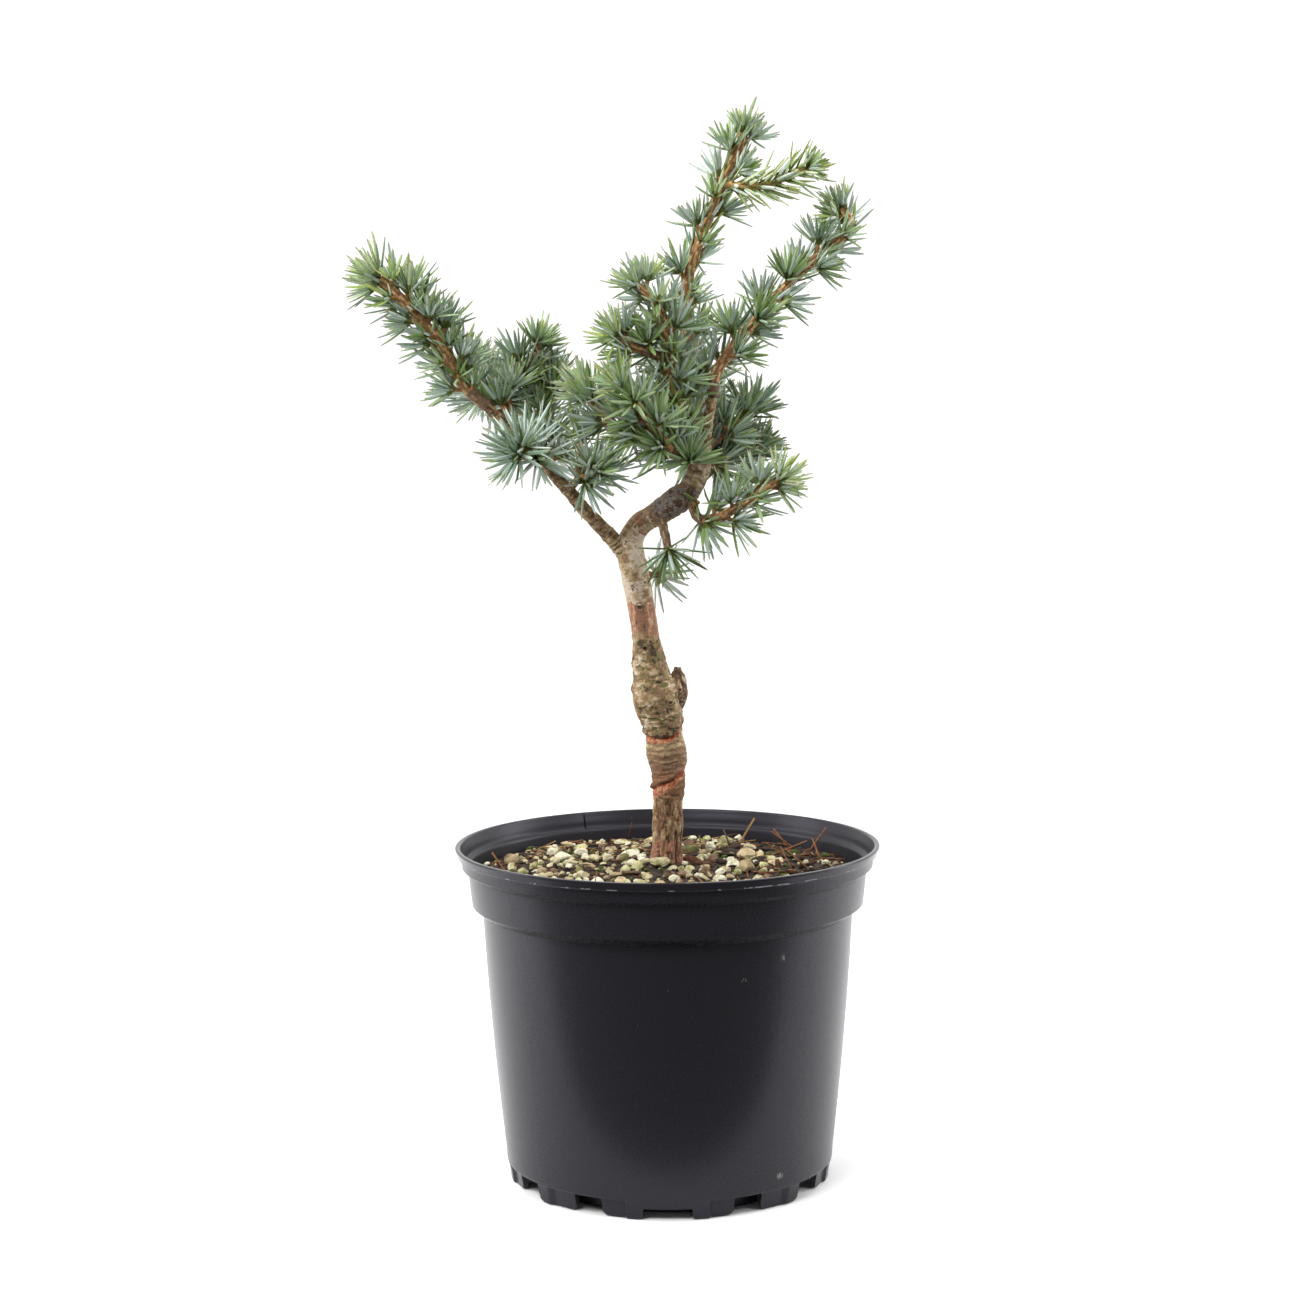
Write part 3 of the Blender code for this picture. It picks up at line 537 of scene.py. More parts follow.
def buildPot():
    turns = potColumns()
    angle, same, count = np.radians(turns), np.ones(len(turns)), len(turns)
    edge = footEdge(turns)
    rows = footRows(turns, edge)
    firstInside = len(rows) + [q for q, z in potRings].index(pot["insideFrom"])
    rows += [(same * radius, same * z) for radius, z in potRings]
    # inside the rim the mould's split lines show as one side standing a hair proud, and the lip's lower edge
    # has flash
    ring = np.stack([94 * np.cos(angle), 94 * np.sin(angle), 0 * angle], axis=1)
    flash = np.maximum(0, layeredNoise(ring / 2.2, 77, 3)) ** 2 * 0.5
    for i, (radius, z) in enumerate(rows):
        if i > firstInside and pot["splitHeights"][0] < z[0] < pot["splitHeights"][1]:
            for split in pot["splits"]:
                ahead = (turns - split) % 360
                proud = pot["splitStep"] * (1 - stepUp(ahead, 0, pot["splitFade"]))
                radius = radius - np.where(ahead > 0, proud, 0)
                inGroove = turnBetween(turns, split) < pot["splitGroove"][0]
                radius = radius + np.where(inGroove, pot["splitGroove"][1], 0)
            rows[i] = (radius, z)
        if pot["flash"][0] < z[0] < pot["flash"][1] and radius[0] > 93:
            rows[i] = (radius + flash * 0.5, z - flash)
    points = ringPoints(rows, angle)
    faces = gridFaces(len(rows), count)
    rowOf = np.repeat(np.arange(len(rows) - 1), count)
    turnOf = np.tile(turns, len(rows) - 1)
    rowHeight = np.array([z.mean() for q, z in rows])[rowOf]
    rowRadius = np.array([q.mean() for q, z in rows])[rowOf]
    # the flash is worn pale in specks, and along one stretch at the right of the front it is painted pale
    # all along as a highlight
    worn = layeredNoise(points[faces[:, 0]] / 1.6, 66, 3)
    paintedHighlight = np.where((turnOf > pot["paintedHighlight"][0]) & (turnOf < pot["paintedHighlight"][1]), -0.3, 0.28)
    # kinds of surface: 0 wall, 1 scuffed flash and painted highlight, 2 inside, 3 rim, 4 ledge, painted
    # shade
    kind = np.where(rowOf > firstInside, 2, 0)
    kind[(rowHeight > pot["rimFrom"]) & (rowOf <= firstInside)] = 3
    # the two ledges under the collar are less shiny than the wall and painted darker as shade, so they stay
    # dark above the white floor
    for low, high in pot["ledges"]:
        kind[(rowHeight > low) & (rowHeight < high) & (rowOf < firstInside)] = 4
    kind[(rowHeight > 146.7) & (rowHeight < 147.2) & (rowRadius > 93.2) & (worn > paintedHighlight)] = 1
    # inside of the skirt, the raised underside with its drain ring, and the round boss under its middle
    under = [(same * 68.5, edge + 0.02), (same * 68.3, same * 8.5)]
    under += [(same * q, same * z) for q, z in pot["underside"]]
    first = len(points)
    floorFirst = first + len(under) * count
    k = np.arange(count)
    after = (k + 1) % count
    join = np.stack([k, k + first, after + first, after], axis=1)[:, ::-1]
    top = (len(rows) - 1) * count
    floorFaces = np.stack([top + k, top + after, floorFirst + after, floorFirst + k], axis=1)
    ends = [(floorFirst + k)[None], (floorFirst - count + k)[None, ::-1]]
    others = [gridFaces(len(under), count, first)[:, ::-1], join, floorFaces] + ends
    floorRing = ringPoints([(same * 0.4, same * 10.6)], angle)
    points = np.concatenate([points, ringPoints(under, angle), floorRing]) * mm
    # the scuffed flash's pale colour is wear in specks, and a painted highlight along one stretch
    mats = [potMaterial(), potMaterial("Black polypropylene, scuffed flash and painted highlight", pot["flashWearAndHighlightColour"], 0.5),
            potMaterial("Black polypropylene, dusty inside", pot["insideColour"], 0.34),
            potMaterial("Black polypropylene, rim polished glossy", pot["colour"], pot["rimRoughness"]),
            # the dull ledge's darker colour is painted shade
            potMaterial("Black polypropylene, dull ledge in painted shade", pot["ledgeShadeColour"], pot["roughness"],
                        pot["ledgeShine"])]
    kind = np.concatenate([kind, np.zeros(sum(len(f) for f in others), int)])
    obj = makeMesh("nursery_pot", points, [faces] + others, mats, kind)
    obj.data.set_sharp_from_angle(angle=math.radians(38))
    return place(obj, "pot", "pot")


buildPot()
print("pot done")


# name, dark colour, light colour, grain in mm
twigMats = [grainMaterial("twig", *kind) for kind in (
    ("Twig bark, cinnamon", "a2784a", "d3a670", 1.8),
    ("Leaf cushion, pale cinnamon", "c49b68", "e8c896", 1.6),
    ("Bud scales, papery brown", "80592f", "c2954f", 1.0),
    ("Spur peg, dark ringed", "77532f", "b0834d", 0.8),
    ("Twig bark, shaded groove", "765338", "9f774f", 1.2),
    ("Older twig bark, grey brown", "7a5f45", "a98c6c", 1.8),
    ("Older twig bark, groove in painted shade", "57412e", "7d664c", 1.4),
    ("New shoot, straw cinnamon", "bf9555", "e8c585", 1.6))]


# Two unit directions square to a way and to each other
def squareTo(way):
    side = unit(np.cross(way, [0, 0, 1.0] if abs(way[2]) < 0.9 else [1.0, 0, 0]))
    return side, np.cross(way, side)


# The direction that points out of a stem at a turn round it
def outOfStem(way, turn):
    flat = unit(np.cross(way, [0.3, 0.2, 1.0]))
    return flat * math.cos(turn) + np.cross(way, flat) * math.sin(turn)


def caps(rings, sides):
    last = (rings - 1) * sides
    return [np.arange(sides)[None, ::-1], np.arange(last, last + sides)[None]]


# A round form through some centres, with a radius at each: its points, sides and caps
def roundForm(way, centres, radii, sides=8):
    side, across = squareTo(way)
    turn = roundTurns(sides)
    ring = np.outer(np.cos(turn), side) + np.outer(np.sin(turn), across)
    points = np.concatenate([centre + ring * radius for centre, radius in zip(centres, radii)])
    return [points, gridFaces(len(centres), sides)] + caps(len(centres), sides)


# A plain stick with a little swelling, for pegs and the like
def stick(a, b, ra, rb, sides=8, rings=4):
    shares = [i / (rings - 1) for i in range(rings)]
    return roundForm(unit(b - a), [a + (b - a) * t for t in shares],
                     [(ra + (rb - ra) * t) * (1 + 0.10 * math.sin(t * 9)) for t in shares], sides)


def budShape(at, way, length, width):
    outline = ((0.0, 0.6), (0.2, 0.95), (0.45, 1.0), (0.7, 0.75), (0.9, 0.35), (1.0, 0.05))
    return roundForm(way, [at + way * length * t for t, w in outline], [width / 2 * w for t, w in outline])


# Collects many small forms and makes one mesh of them
class Heap:
    def __init__(self):
        self.points, self.faces, self.mats, self.count = [], {}, {}, 0

    # mat is one material's number for all faces, or a list with an entry for each set of faces
    def add(self, points, faceSets, mat):
        mats = mat if isinstance(mat, list) else [mat] * len(faceSets)
        for faces, kind in zip(faceSets, mats):
            width = faces.shape[1]
            self.faces.setdefault(width, []).append(faces + self.count)
            self.mats.setdefault(width, []).append(np.zeros(len(faces), int) + kind)
        self.points.append(points)
        self.count += len(points)

    def make(self, name, materials, smooth=True):
        widths = sorted(self.faces)
        faces = [np.concatenate(self.faces[w]) for w in widths]
        mats = np.concatenate([np.concatenate(self.mats[w]) for w in widths])
        return makeMesh(name, np.concatenate(self.points) * mm, faces, materials, mats, smooth)


def addForm(heap, form, mat):
    heap.add(form[0], form[1:], mat)


# Top dressing: pale grit over dark bark compost, with dry needles and a little moss. Sizes in mm

# how high the soil stands, how lumpy it is, where the trunk is, how far out it reaches, its hidden bottom
soil = {"atTrunk": 140.6, "atWall": 136.8, "lump": 0.9, "trunkX": -0.8, "trunkY": 8.0, "reach": 85.9,
        "bottom": 118, "narrowing": 0.94}


def soilHeight(x, y):
    p = np.stack([x, y, np.zeros_like(x)], axis=1)
    from0 = np.hypot(x - soil["trunkX"], y - soil["trunkY"])
    share = np.clip(1 - np.hypot(x, y) / (soil["reach"] + 0.1), 0, 1)
    height = soil["atWall"] + (soil["atTrunk"] - soil["atWall"]) * share ** 0.8
    height += layeredNoise(p / 14.0, 5, 3) * 1.3 + layeredNoise(p / 2.4, 8, 2) * soil["lump"]
    return np.where(from0 < 10, np.minimum(height, soil["atTrunk"] + 0.5), height)


# The point on the soil at a place, or so many mm above it
def onSoil(x, y, above=0.0):
    return np.array([x, y, soilHeight(np.array([float(x)]), np.array([float(y)]))[0] + above])


def fromTrunk(x, y):
    return math.hypot(x - soil["trunkX"], y - soil["trunkY"])


# A place on the soil, as likely in one spot as in another
def anywhere(rng, reach):
    q, a = reach * math.sqrt(rng.uniform(0.0, 1.0)), rng.uniform(0, 2 * math.pi)
    return q * math.cos(a), q * math.sin(a)


def buildSoil():
    rings, sides = 130, 280
    radius = np.linspace(0, soil["reach"], rings)[1:]
    turn = roundTurns(sides)
    x = (radius[:, None] * np.cos(turn)).reshape(-1)
    y = (radius[:, None] * np.sin(turn)).reshape(-1)
    points = np.stack([x, y, soilHeight(x, y)], axis=1)
    base = points[-sides:] * [soil["narrowing"], soil["narrowing"], 0] + [0, 0, soil["bottom"]]
    points = np.concatenate([points, base, [[0, 0, soil["atTrunk"]]], [[0, 0, soil["bottom"]]]])
    top = len(points) - 2
    k = np.arange(sides)
    hub = np.stack([np.full(sides, top), (k + 1) % sides, k], axis=1)[:, ::-1]
    last = (rings - 1) * sides
    foot = np.stack([np.full(sides, top + 1), last + (k + 1) % sides, last + k], axis=1)
    obj = makeMesh("compost", points * mm, [gridFaces(rings, sides)[:, ::-1], hub, foot[:, ::-1]],
                   [grainMaterial("earth", "Damp bark compost, loose", "251d18", "4d3e33", 3.0)])
    return place(obj, "growing_medium", "growing_medium")


# One lumpy stone: a squashed ball with flats knocked off it
def stoneShape(rng, across=9, up=7):
    lat = np.linspace(-math.pi / 2, math.pi / 2, up + 2)[1:-1]
    lon = roundTurns(across)
    ball = np.stack([np.outer(np.cos(lat), np.cos(lon)), np.outer(np.cos(lat), np.sin(lon)),
                     np.outer(np.sin(lat), np.ones(across))], axis=2).reshape(-1, 3)
    ball = np.concatenate([ball, [[0, 0, -1.0], [0, 0, 1.0]]])
    for _ in range(10):
        way = unit(rng.normal(size=3))
        depth = ball @ way
        cut = rng.uniform(0.5, 0.85)
        ball -= np.outer(np.maximum(depth - cut, 0) * 0.85, way)
    ball *= rng.uniform(0.72, 1.18, 3) * np.array([1.12, 0.82, 0.72])
    ball += rng.normal(size=ball.shape) * 0.03
    k = np.arange(across)
    after, last, pole = (k + 1) % across, (up - 1) * across, np.full(across, up * across)
    south = np.stack([pole, after, k], axis=1)
    north = np.stack([pole + 1, last + k, last + after], axis=1)
    return ball, gridFaces(up, across), np.concatenate([south, north])


# A stone of a size, stretched or flattened and turned any way
def turnedStone(rng, size, stretch, tilt, *detail):
    ball, *faces = stoneShape(rng, *detail)
    turn = Matrix.Rotation(rng.uniform(0, 2 * math.pi), 3, "Z")
    turn = turn @ Matrix.Rotation(rng.normal() * 0.5 * tilt, 3, "X")
    return ball * size / 2 * np.array(stretch) @ np.array(turn).T, faces


# Grit: stones with chips and small grit between them
grit = {
    # name, colour, stain, how much of it is stained
    "kinds": (
        ("Limestone grit, chalky", "d3ceb6", "97935f", 0.4),
        ("Limestone grit, cream", "c3b894", "7f7b4a", 0.55),
        ("Limestone grit, sandy", "a99673", "6e5c44", 0.5),
        ("Limestone grit, greened", "bfb98c", "73733f", 0.7),
        ("Limestone grit, mossy", "8c8755", "55552f", 0.85),
        ("Flint grit, brown", "7c5f48", "4c392b", 0.6),
        ("Quartz grit, amber", "d8a83e", "b07a2c", 0.2),
        ("Limestone grit, buff", "c8b48f", "8a7350", 0.45)),
    "stones": 400, "tries": 30000, "reach": 83.0, "edge": 84.5, "trunkGap": 9.5, "closest": 0.46,
    # the usual size as its natural logarithm, the spread round it, the smallest and the largest
    "sizes": (1.67, 0.34, 2.6, 9.4),
    # which kinds the stones and the chips are, and the share of each
    "stoneDeal": ([0, 1, 2, 3, 4, 5, 7], [0.20, 0.27, 0.15, 0.18, 0.07, 0.06, 0.07]),
    "chips": 330, "chipReach": 84.0, "chipGap": 8.5, "chipSizes": (1.0, 2.2),
    "chipDeal": ([1, 2, 5, 3, 0], [0.2, 0.25, 0.35, 0.1, 0.1]),
    # the single amber stone at the left, two larger pale ones at the right: place, size and kind
    "single": ((-51.0, -38.0, 4.4, 6), (36.0, 22.0, 8.6, 7), (47.0, 12.0, 6.5, 3)),
}


def scatterStones():
    rng = np.random.default_rng(21)
    placed, heap = [], Heap()

    def add(x, y, size, kind, sink=0.1):
        stone, faces = turnedStone(rng, size, (1, 1, 1), 1.0)
        heap.add(stone + onSoil(x, y, size * (0.36 - sink)), faces, kind)

    usual, spread, smallest, largest = grit["sizes"]
    tries = 0
    while len(placed) < grit["stones"] and tries < grit["tries"]:
        tries += 1
        x, y = anywhere(rng, grit["reach"])
        if fromTrunk(x, y) < grit["trunkGap"]:
            continue
        # bare compost shows more at the right, at the back and close behind the trunk
        cover = 1.0 - 0.97 * stepUp(x, 32, 56) - 0.7 * stepUp(y, 22, 52)
        patch = layeredNoise(np.array([[x / 15, y / 15, 0.5]]), 3, 2)[0]
        if rng.uniform() > cover * np.clip(0.66 + 2.2 * patch, 0.03, 1):
            continue
        size = float(np.clip(rng.lognormal(usual, spread), smallest, largest))
        near = [math.hypot(x - px, y - py) < (size + ps) * grit["closest"] for px, py, ps in placed]
        if any(near) or math.hypot(x, y) + size / 2 > grit["edge"]:
            continue
        placed.append((x, y, size))
        kind = rng.choice(grit["stoneDeal"][0], p=grit["stoneDeal"][1])
        add(x, y, size, kind, rng.uniform(0.05, 0.4))
    # small grit and chips lie between the stones
    for _ in range(grit["chips"]):
        x, y = anywhere(rng, grit["chipReach"])
        if fromTrunk(x, y) >= grit["chipGap"]:
            size = rng.uniform(*grit["chipSizes"])
            add(x, y, size, rng.choice(grit["chipDeal"][0], p=grit["chipDeal"][1]))
    for x, y, size, kind in grit["single"]:
        add(x, y, size, kind)
    print("stones:", len(placed))
    mats = [grainMaterial("stone", *kind[:3], 5.0, kind[3] * 0.3) for kind in grit["kinds"]]
    return place(heap.make("grit", mats, smooth=False), "growing_medium")


# Bark crumbs: dark splintery bits three times as long as thick, moss tufts, and larger chips of bark
crumbs = {
    "kinds": (("Bark crumb, dark", "282019", "493a2f", 2.0), ("Bark crumb, red", "40281a", "6c452c", 2.0),
              ("Moss tuft, damp", "2b3818", "65742f", 0.8)),
    "count": 2300, "reach": 84.5, "trunkGap": 8, "sizes": (1.4, 4.2), "shape": (1.5, 0.55, 0.5),
    "redShare": 0.4, "mossShare": 0.09, "mossShape": (1, 1, 0.8),
    # right of or behind these places the crumbs lie closer and are larger
    "rightFrom": 40, "backFrom": 30, "largerThere": 1.2, "fewerElsewhere": 0.25,
    # the chips lie behind and to the right of the trunk
    "chips": 46, "chipX": (8, 66), "chipY": (-44, 58), "chipReach": 76, "chipGap": 12,
    "chipSizes": (6.0, 11.0), "chipShape": (1.1, 0.6, 0.34), "chipRedShare": 0.35,
}


def scatterCrumbs():
    rng = np.random.default_rng(5)
    heap = Heap()
    for _ in range(crumbs["count"]):
        x, y = anywhere(rng, crumbs["reach"])
        if fromTrunk(x, y) < crumbs["trunkGap"]:
            continue
        close = x > crumbs["rightFrom"] or y > crumbs["backFrom"]
        if not close and rng.uniform() < crumbs["fewerElsewhere"]:
            continue
        moss = rng.uniform() < crumbs["mossShare"]
        size = rng.uniform(*crumbs["sizes"]) * (crumbs["largerThere"] if close else 1.0)
        crumb, faces = turnedStone(rng, size, crumbs["mossShape" if moss else "shape"], 1.2, 6, 4)
        kind = 2 if moss else int(rng.uniform() < crumbs["redShare"])
        heap.add(crumb + onSoil(x, y, size * 0.16), faces, kind)
    for _ in range(crumbs["chips"]):
        x, y = rng.uniform(*crumbs["chipX"]), rng.uniform(*crumbs["chipY"])
        if math.hypot(x, y) > crumbs["chipReach"] or fromTrunk(x, y) < crumbs["chipGap"]:
            continue
        size = rng.uniform(*crumbs["chipSizes"])
        chip, faces = turnedStone(rng, size, crumbs["chipShape"], 1.1, 7, 5)
        heap.add(chip + onSoil(x, y, size * 0.14), faces, int(rng.uniform() < crumbs["chipRedShare"]))
    mats = [grainMaterial("earth", *kind) for kind in crumbs["kinds"]]
    return place(heap.make("bark_crumbs", mats), "growing_medium")


# Dry needles and twig ends: they lie flat in the compost, a few lean on stones or stick up
litter = {
    "kinds": (("Dry needle, cinnamon", "563420", "8a5c38", 1.0),
              ("Dry needle, straw", "7d5f38", "aa8752", 1.0),
              ("Dead twig end, grey brown", "4a382a", "7a6048", 1.0)),
    "count": 150, "reach": 83.5, "edge": 84.5, "trunkGap": 10, "lengths": (7, 15), "flat": (0.0, 0.22),
    "leaning": (0.4, 0.8), "leaningEach": 12, "needleRadii": (0.32, 0.5), "twigRadii": (0.8, 1.3),
    "twigShare": 0.08, "strawShare": 0.3,
    # the few that stand up against the back wall and at the left, as in the photograph: place, length,
    # turn and rise in radians, kind
    "standing": (
        (34, 62, 15, 0.5, 0.95, 1), (58, 52, 13, 2.6, 0.8, 0), (66, 44, 14, 0.3, 0.9, 0),
        (70, 22, 13, 1.9, 0.7, 0), (-70, -14, 15, 2.4, 0.75, 0), (47, 30, 19, 0.2, 0.35, 0),
        (-14, -70, 22, 0.35, 0.2, 1), (20, -58, 14, 2.2, 0.45, 0), (30, 58, 9, 2.9, 1.2, 2)),
}


def scatterLitter():
    rng = np.random.default_rng(9)
    heap = Heap()
    for i in range(litter["count"]):
        q, a = litter["reach"] * rng.uniform(0.0, 1.0) ** 0.4, rng.uniform(0, 2 * math.pi)
        x, y = q * math.cos(a), q * math.sin(a)
        # more of them lie at the right and at the back
        if rng.uniform() > 0.35 + 0.65 * stepUp(max(x, y), 10, 50) or fromTrunk(x, y) < litter["trunkGap"]:
            continue
        turn = rng.uniform(0, 2 * math.pi)
        way = direction(turn, rng.uniform(*litter["flat" if i % litter["leaningEach"] else "leaning"]))
        long = rng.uniform(*litter["lengths"])
        if max(np.hypot(*([x, y] + way[:2] * long * share)) for share in (0.5, 1.0)) > litter["edge"]:
            continue
        root = onSoil(x, y, rng.uniform(0.6, 2.4))
        tip = root + way * long
        tip[2] = max(tip[2], onSoil(tip[0], tip[1], 1.2)[2])
        twig = rng.uniform() < litter["twigShare"]
        wide = rng.uniform(*litter["twigRadii" if twig else "needleRadii"])
        kind = 2 if twig else int(rng.uniform() < litter["strawShare"])
        addForm(heap, stick(root, tip, wide, wide * 0.7, 5, 3), kind)
    for x, y, long, turn, rise, kind in litter["standing"]:
        root = onSoil(x, y)
        addForm(heap, stick(root, root + direction(turn, rise) * long, 0.6, 0.4, 6, 4), kind)
    mats = [grainMaterial("twig", *kind) for kind in litter["kinds"]]
    return place(heap.make("litter", mats), "growing_medium")


buildSoil()
scatterStones()
scatterCrumbs()
scatterLitter()
print("top dressing done")


# Needles: four-sided, stiff and waxy, drawn as rings of four points from root to tip.
# Each has greener faces on one side and paler, waxier ones on the other

needleShape = {
    "share": np.array([0.0, 0.06, 0.28, 0.70, 0.92]),
    "width": np.array([0.55, 0.85, 1.0, 0.94, 0.55]),
    "flat": 0.62,
}


def needleMesh(name, roots, ways, lengths, widths, bends, inner, tones):
    count = len(roots)
    t, w = needleShape["share"], needleShape["width"]
    b = inner - ways * np.einsum("ij,ij->i", inner, ways)[:, None]
    b /= np.maximum(np.linalg.norm(b, axis=1), 1e-6)[:, None]
    a = np.cross(ways, b)
    rings = []
    for share, width in zip(t, w):
        centre = roots + ways * (lengths * share)[:, None] + bends * (lengths * share ** 2)[:, None]
        half = (widths * width / 2)[:, None]
        for pa, pb in ((1, 0), (0, needleShape["flat"]), (-1, 0), (0, -needleShape["flat"])):
            rings.append(centre + a * half * pa + b * half * pb)
    tip = roots + ways * lengths[:, None] + bends * lengths[:, None]
    points = np.stack(rings + [tip], axis=1)
    each = points.shape[1]
    quads = gridFaces(len(t), 4)[:, [0, 3, 2, 1]]
    last = (len(t) - 1) * 4
    tris = np.array([(last + k, each - 1, last + (k + 1) % 4) for k in range(4)])
    shift = (np.arange(count) * each)[:, None, None]
    faces = [(quads[None] + shift).reshape(-1, 4), (tris[None] + shift).reshape(-1, 3)]
    # the first two stretches have the foot's darker tone, painted shade where the needles crowd in the spur,
    # and the very first is green all round
    stretch, corner = np.divmod(np.arange(len(quads)), 4)
    bloomed = (corner > 1) & (stretch > 0)
    tone = np.where(stretch < 2, np.array(footTone)[tones][:, None], tones[:, None])
    quadMat = (tone * 2 + bloomed).reshape(-1)
    triMat = np.full(count * len(tris), len(needleMats) - 1)
    return makeMesh(name, points.reshape(-1, 3) * mm, faces, needleMats, np.concatenate([quadMat, triMat]),
                    smooth=False)


def needleMaterial(name, colour, roughness=0.46):
    # blue-bloomed needle: wax scatters a pale veil over green, so it is satin and never glassy
    mat, tree, shader = startMaterial(name, colour, roughness, 1.45)
    bloom = noiseNode(tree, 1.6)
    addBump(tree, shader, bloom, 0.12, 0.0001)
    gloss = remap(tree, bloom, 0.3, 0.7, roughness - 0.08, roughness + 0.1)
    tree.links.new(gloss, shader.inputs["Roughness"])
    return mat


# tone, colour of the inner faces, colour of the outer faces. The last two are for the foot of a needle,
# darker as painted shade
needleTones = [
    ("pale bloom", "a6bb8a", "cfdad0"), ("blue bloom", "90a779", "b9c9c0"),
    ("mid green", "789252", "a2b3a6"), ("deep green", "61793c", "849a85"),
    ("old dark and painted shade", "4d5c2b", "65735b"), ("new green", "98ac60", "b4c69e"),
    ("new yellow green", "adba6c", "ccd4ab"), ("shaded base", "505522", "67703f"),
    ("green base in painted shade", "6c7d38", "869664"),
]
footTone = [8, 8, 7, 7, 7, 8, 8]    # which of the last two a needle of each other tone has
needleMats = []
for toneName, innerColour, outerColour in needleTones:
    needleMats.append(needleMaterial("Cedar needle, " + toneName, innerColour))
    needleMats.append(needleMaterial("Cedar needle, " + toneName + ", bloomed side", outerColour))
needleMats.append(needleMaterial("Cedar needle tip, horny", "a1966c"))


# Foliage: needles on spurs, in degrees and mm. A stem shorter than soleSpurLength has only its tip's star
foliage = {
    "spurLean": 35, "spurUpturn": 0.3, "pegLength": 2.2, "needlesEach": 29, "tipNeedles": 34,
    "needleWidth": 1.58, "soleSpurLength": 22, "limbClearance": 1.2, "tipFanMost": 76,
    "pegRadii": (1.05, 0.95), "tipBud": (3.6, 2.4), "spurBud": (2.2, 1.9), "freshAtTip": 0.75,
    # leaf cushions: mm from one to the next, half width, how far they run up and down, how proud they are
    "cushions": (0.85, 0.42, 0.5, 3.6, 0.42),
    # the single needles of a side shoot: spacing, length against the others', angles, and tones dealt out
    "shootNeedles": (0.5, 1.15, (32, 46, 60), (5, 5, 6, 6, 0)), "shootRadii": (1.7, 1.4),
    # and those along the upper part of a leading stem
    "leadingNeedles": (2.2, 0.8, (24, 34), (1, 2, 2, 5)),
    # the bent stretch of trunk that shows from the front: mm along it, how far each side, and the share of
    # needles kept
    "bareFrom": 171, "bareTo": 190, "bareSide": 6.5, "bareKept": 0.12,
}

limbMarks = [(limb, np.arange(0, limb["length"], 1.5)) for limb in limbs.values()]
limbCloud = np.concatenate([limbPoints(*mark) for mark in limbMarks])
limbCloudRadii = np.concatenate([limbRadius(*mark) for mark in limbMarks])
bareTrunk = limbPoints(limbs["trunk"], np.arange(foliage["bareFrom"], foliage["bareTo"], 1.0))


# Which needles pass in front of a line of limb points
def hidesLimb(roots, ways, lengths, line, side, shares):
    hides = np.zeros(len(roots), bool)
    for share in shares:
        gap = (roots + ways * (lengths * share)[:, None])[:, None] - line[None]
        hides |= ((np.hypot(gap[:, :, 0], gap[:, :, 2]) < side) & (gap[:, :, 1] < 0)).any(axis=1)
    return hides


# One star of needles: they fan out from an axis, the outermost ones longest
def spurNeedles(out, rng, centre, axis, count, length, fan, shade, young, lead, facing):
    side, across = squareTo(axis)
    spin = rng.uniform(0, 2 * math.pi)
    i = np.arange(count)
    open0 = 1 - (1 - math.cos(math.radians(fan))) * (i + 0.6) / count
    away = np.arccos(open0) + rng.normal(size=count) * 0.09
    turn = spin + i * goldenTurn + rng.normal(size=count) * 0.16
    ways = (axis * np.cos(away)[:, None] + (side * np.cos(turn)[:, None] + across * np.sin(turn)[:, None])
            * np.sin(away)[:, None])
    ways = ways + lead * 0.12
    ways /= np.linalg.norm(ways, axis=1)[:, None]
    lengths = length * (0.70 + 0.30 * stepUp(away, 0.15, 0.9)) * rng.uniform(0.82, 1.08, count)
    roots = centre + ways * 0.4
    bends = (axis * 0.16 + np.array([0, 0, 0.05])) * rng.uniform(-0.25, 1.25, count)[:, None]
    bends = bends + rng.normal(size=(count, 3)) * 0.03
    # a mass with more shade, partly painted shade, has darker stars, and each star its own tone at random
    mood = float(np.clip(rng.normal(shade, 0.17), 0, 1))
    level = rng.normal(0.6 + mood * 2.6, 0.75, count)
    tones = np.clip(np.round(level), 0, 4).astype(int)
    if young > 0:
        fresh = rng.uniform(size=count) < young * np.where(away < 0.8, 1.0, 0.6)
        tones = np.where(fresh, np.where(rng.uniform(size=count) < 0.25, 6, 5), tones)
    inner = axis * facing + rng.normal(size=(count, 3)) * 0.22
    widths = foliage["needleWidth"] * rng.uniform(0.85, 1.15, count)
    out.append((roots, ways, lengths, widths, bends, inner, tones))


# Single needles set in a spiral round a shoot
def singleNeedles(out, rng, stem, start, usual, spacing, share, angles, tones):
    for k, s in enumerate(np.arange(start, stem["length"] - 1.0, spacing)):
        at, way = spotOn(stem, s)
        side = outOfStem(way, k * goldenTurn)
        a = math.radians(rng.choice(angles) + rng.normal() * 5)
        needleWay = side * math.sin(a) + way * math.cos(a)
        root = at + side * limbRadius(stem, s) * 0.85
        out.append((root[None], needleWay[None], np.array([usual * share * rng.uniform(0.7, 1.0)]),
                    np.array([foliage["needleWidth"]]), (way * 0.12 + rng.normal(size=3) * 0.03)[None],
                    (way + rng.normal(size=3) * 0.2)[None], np.array([rng.choice(tones)])))


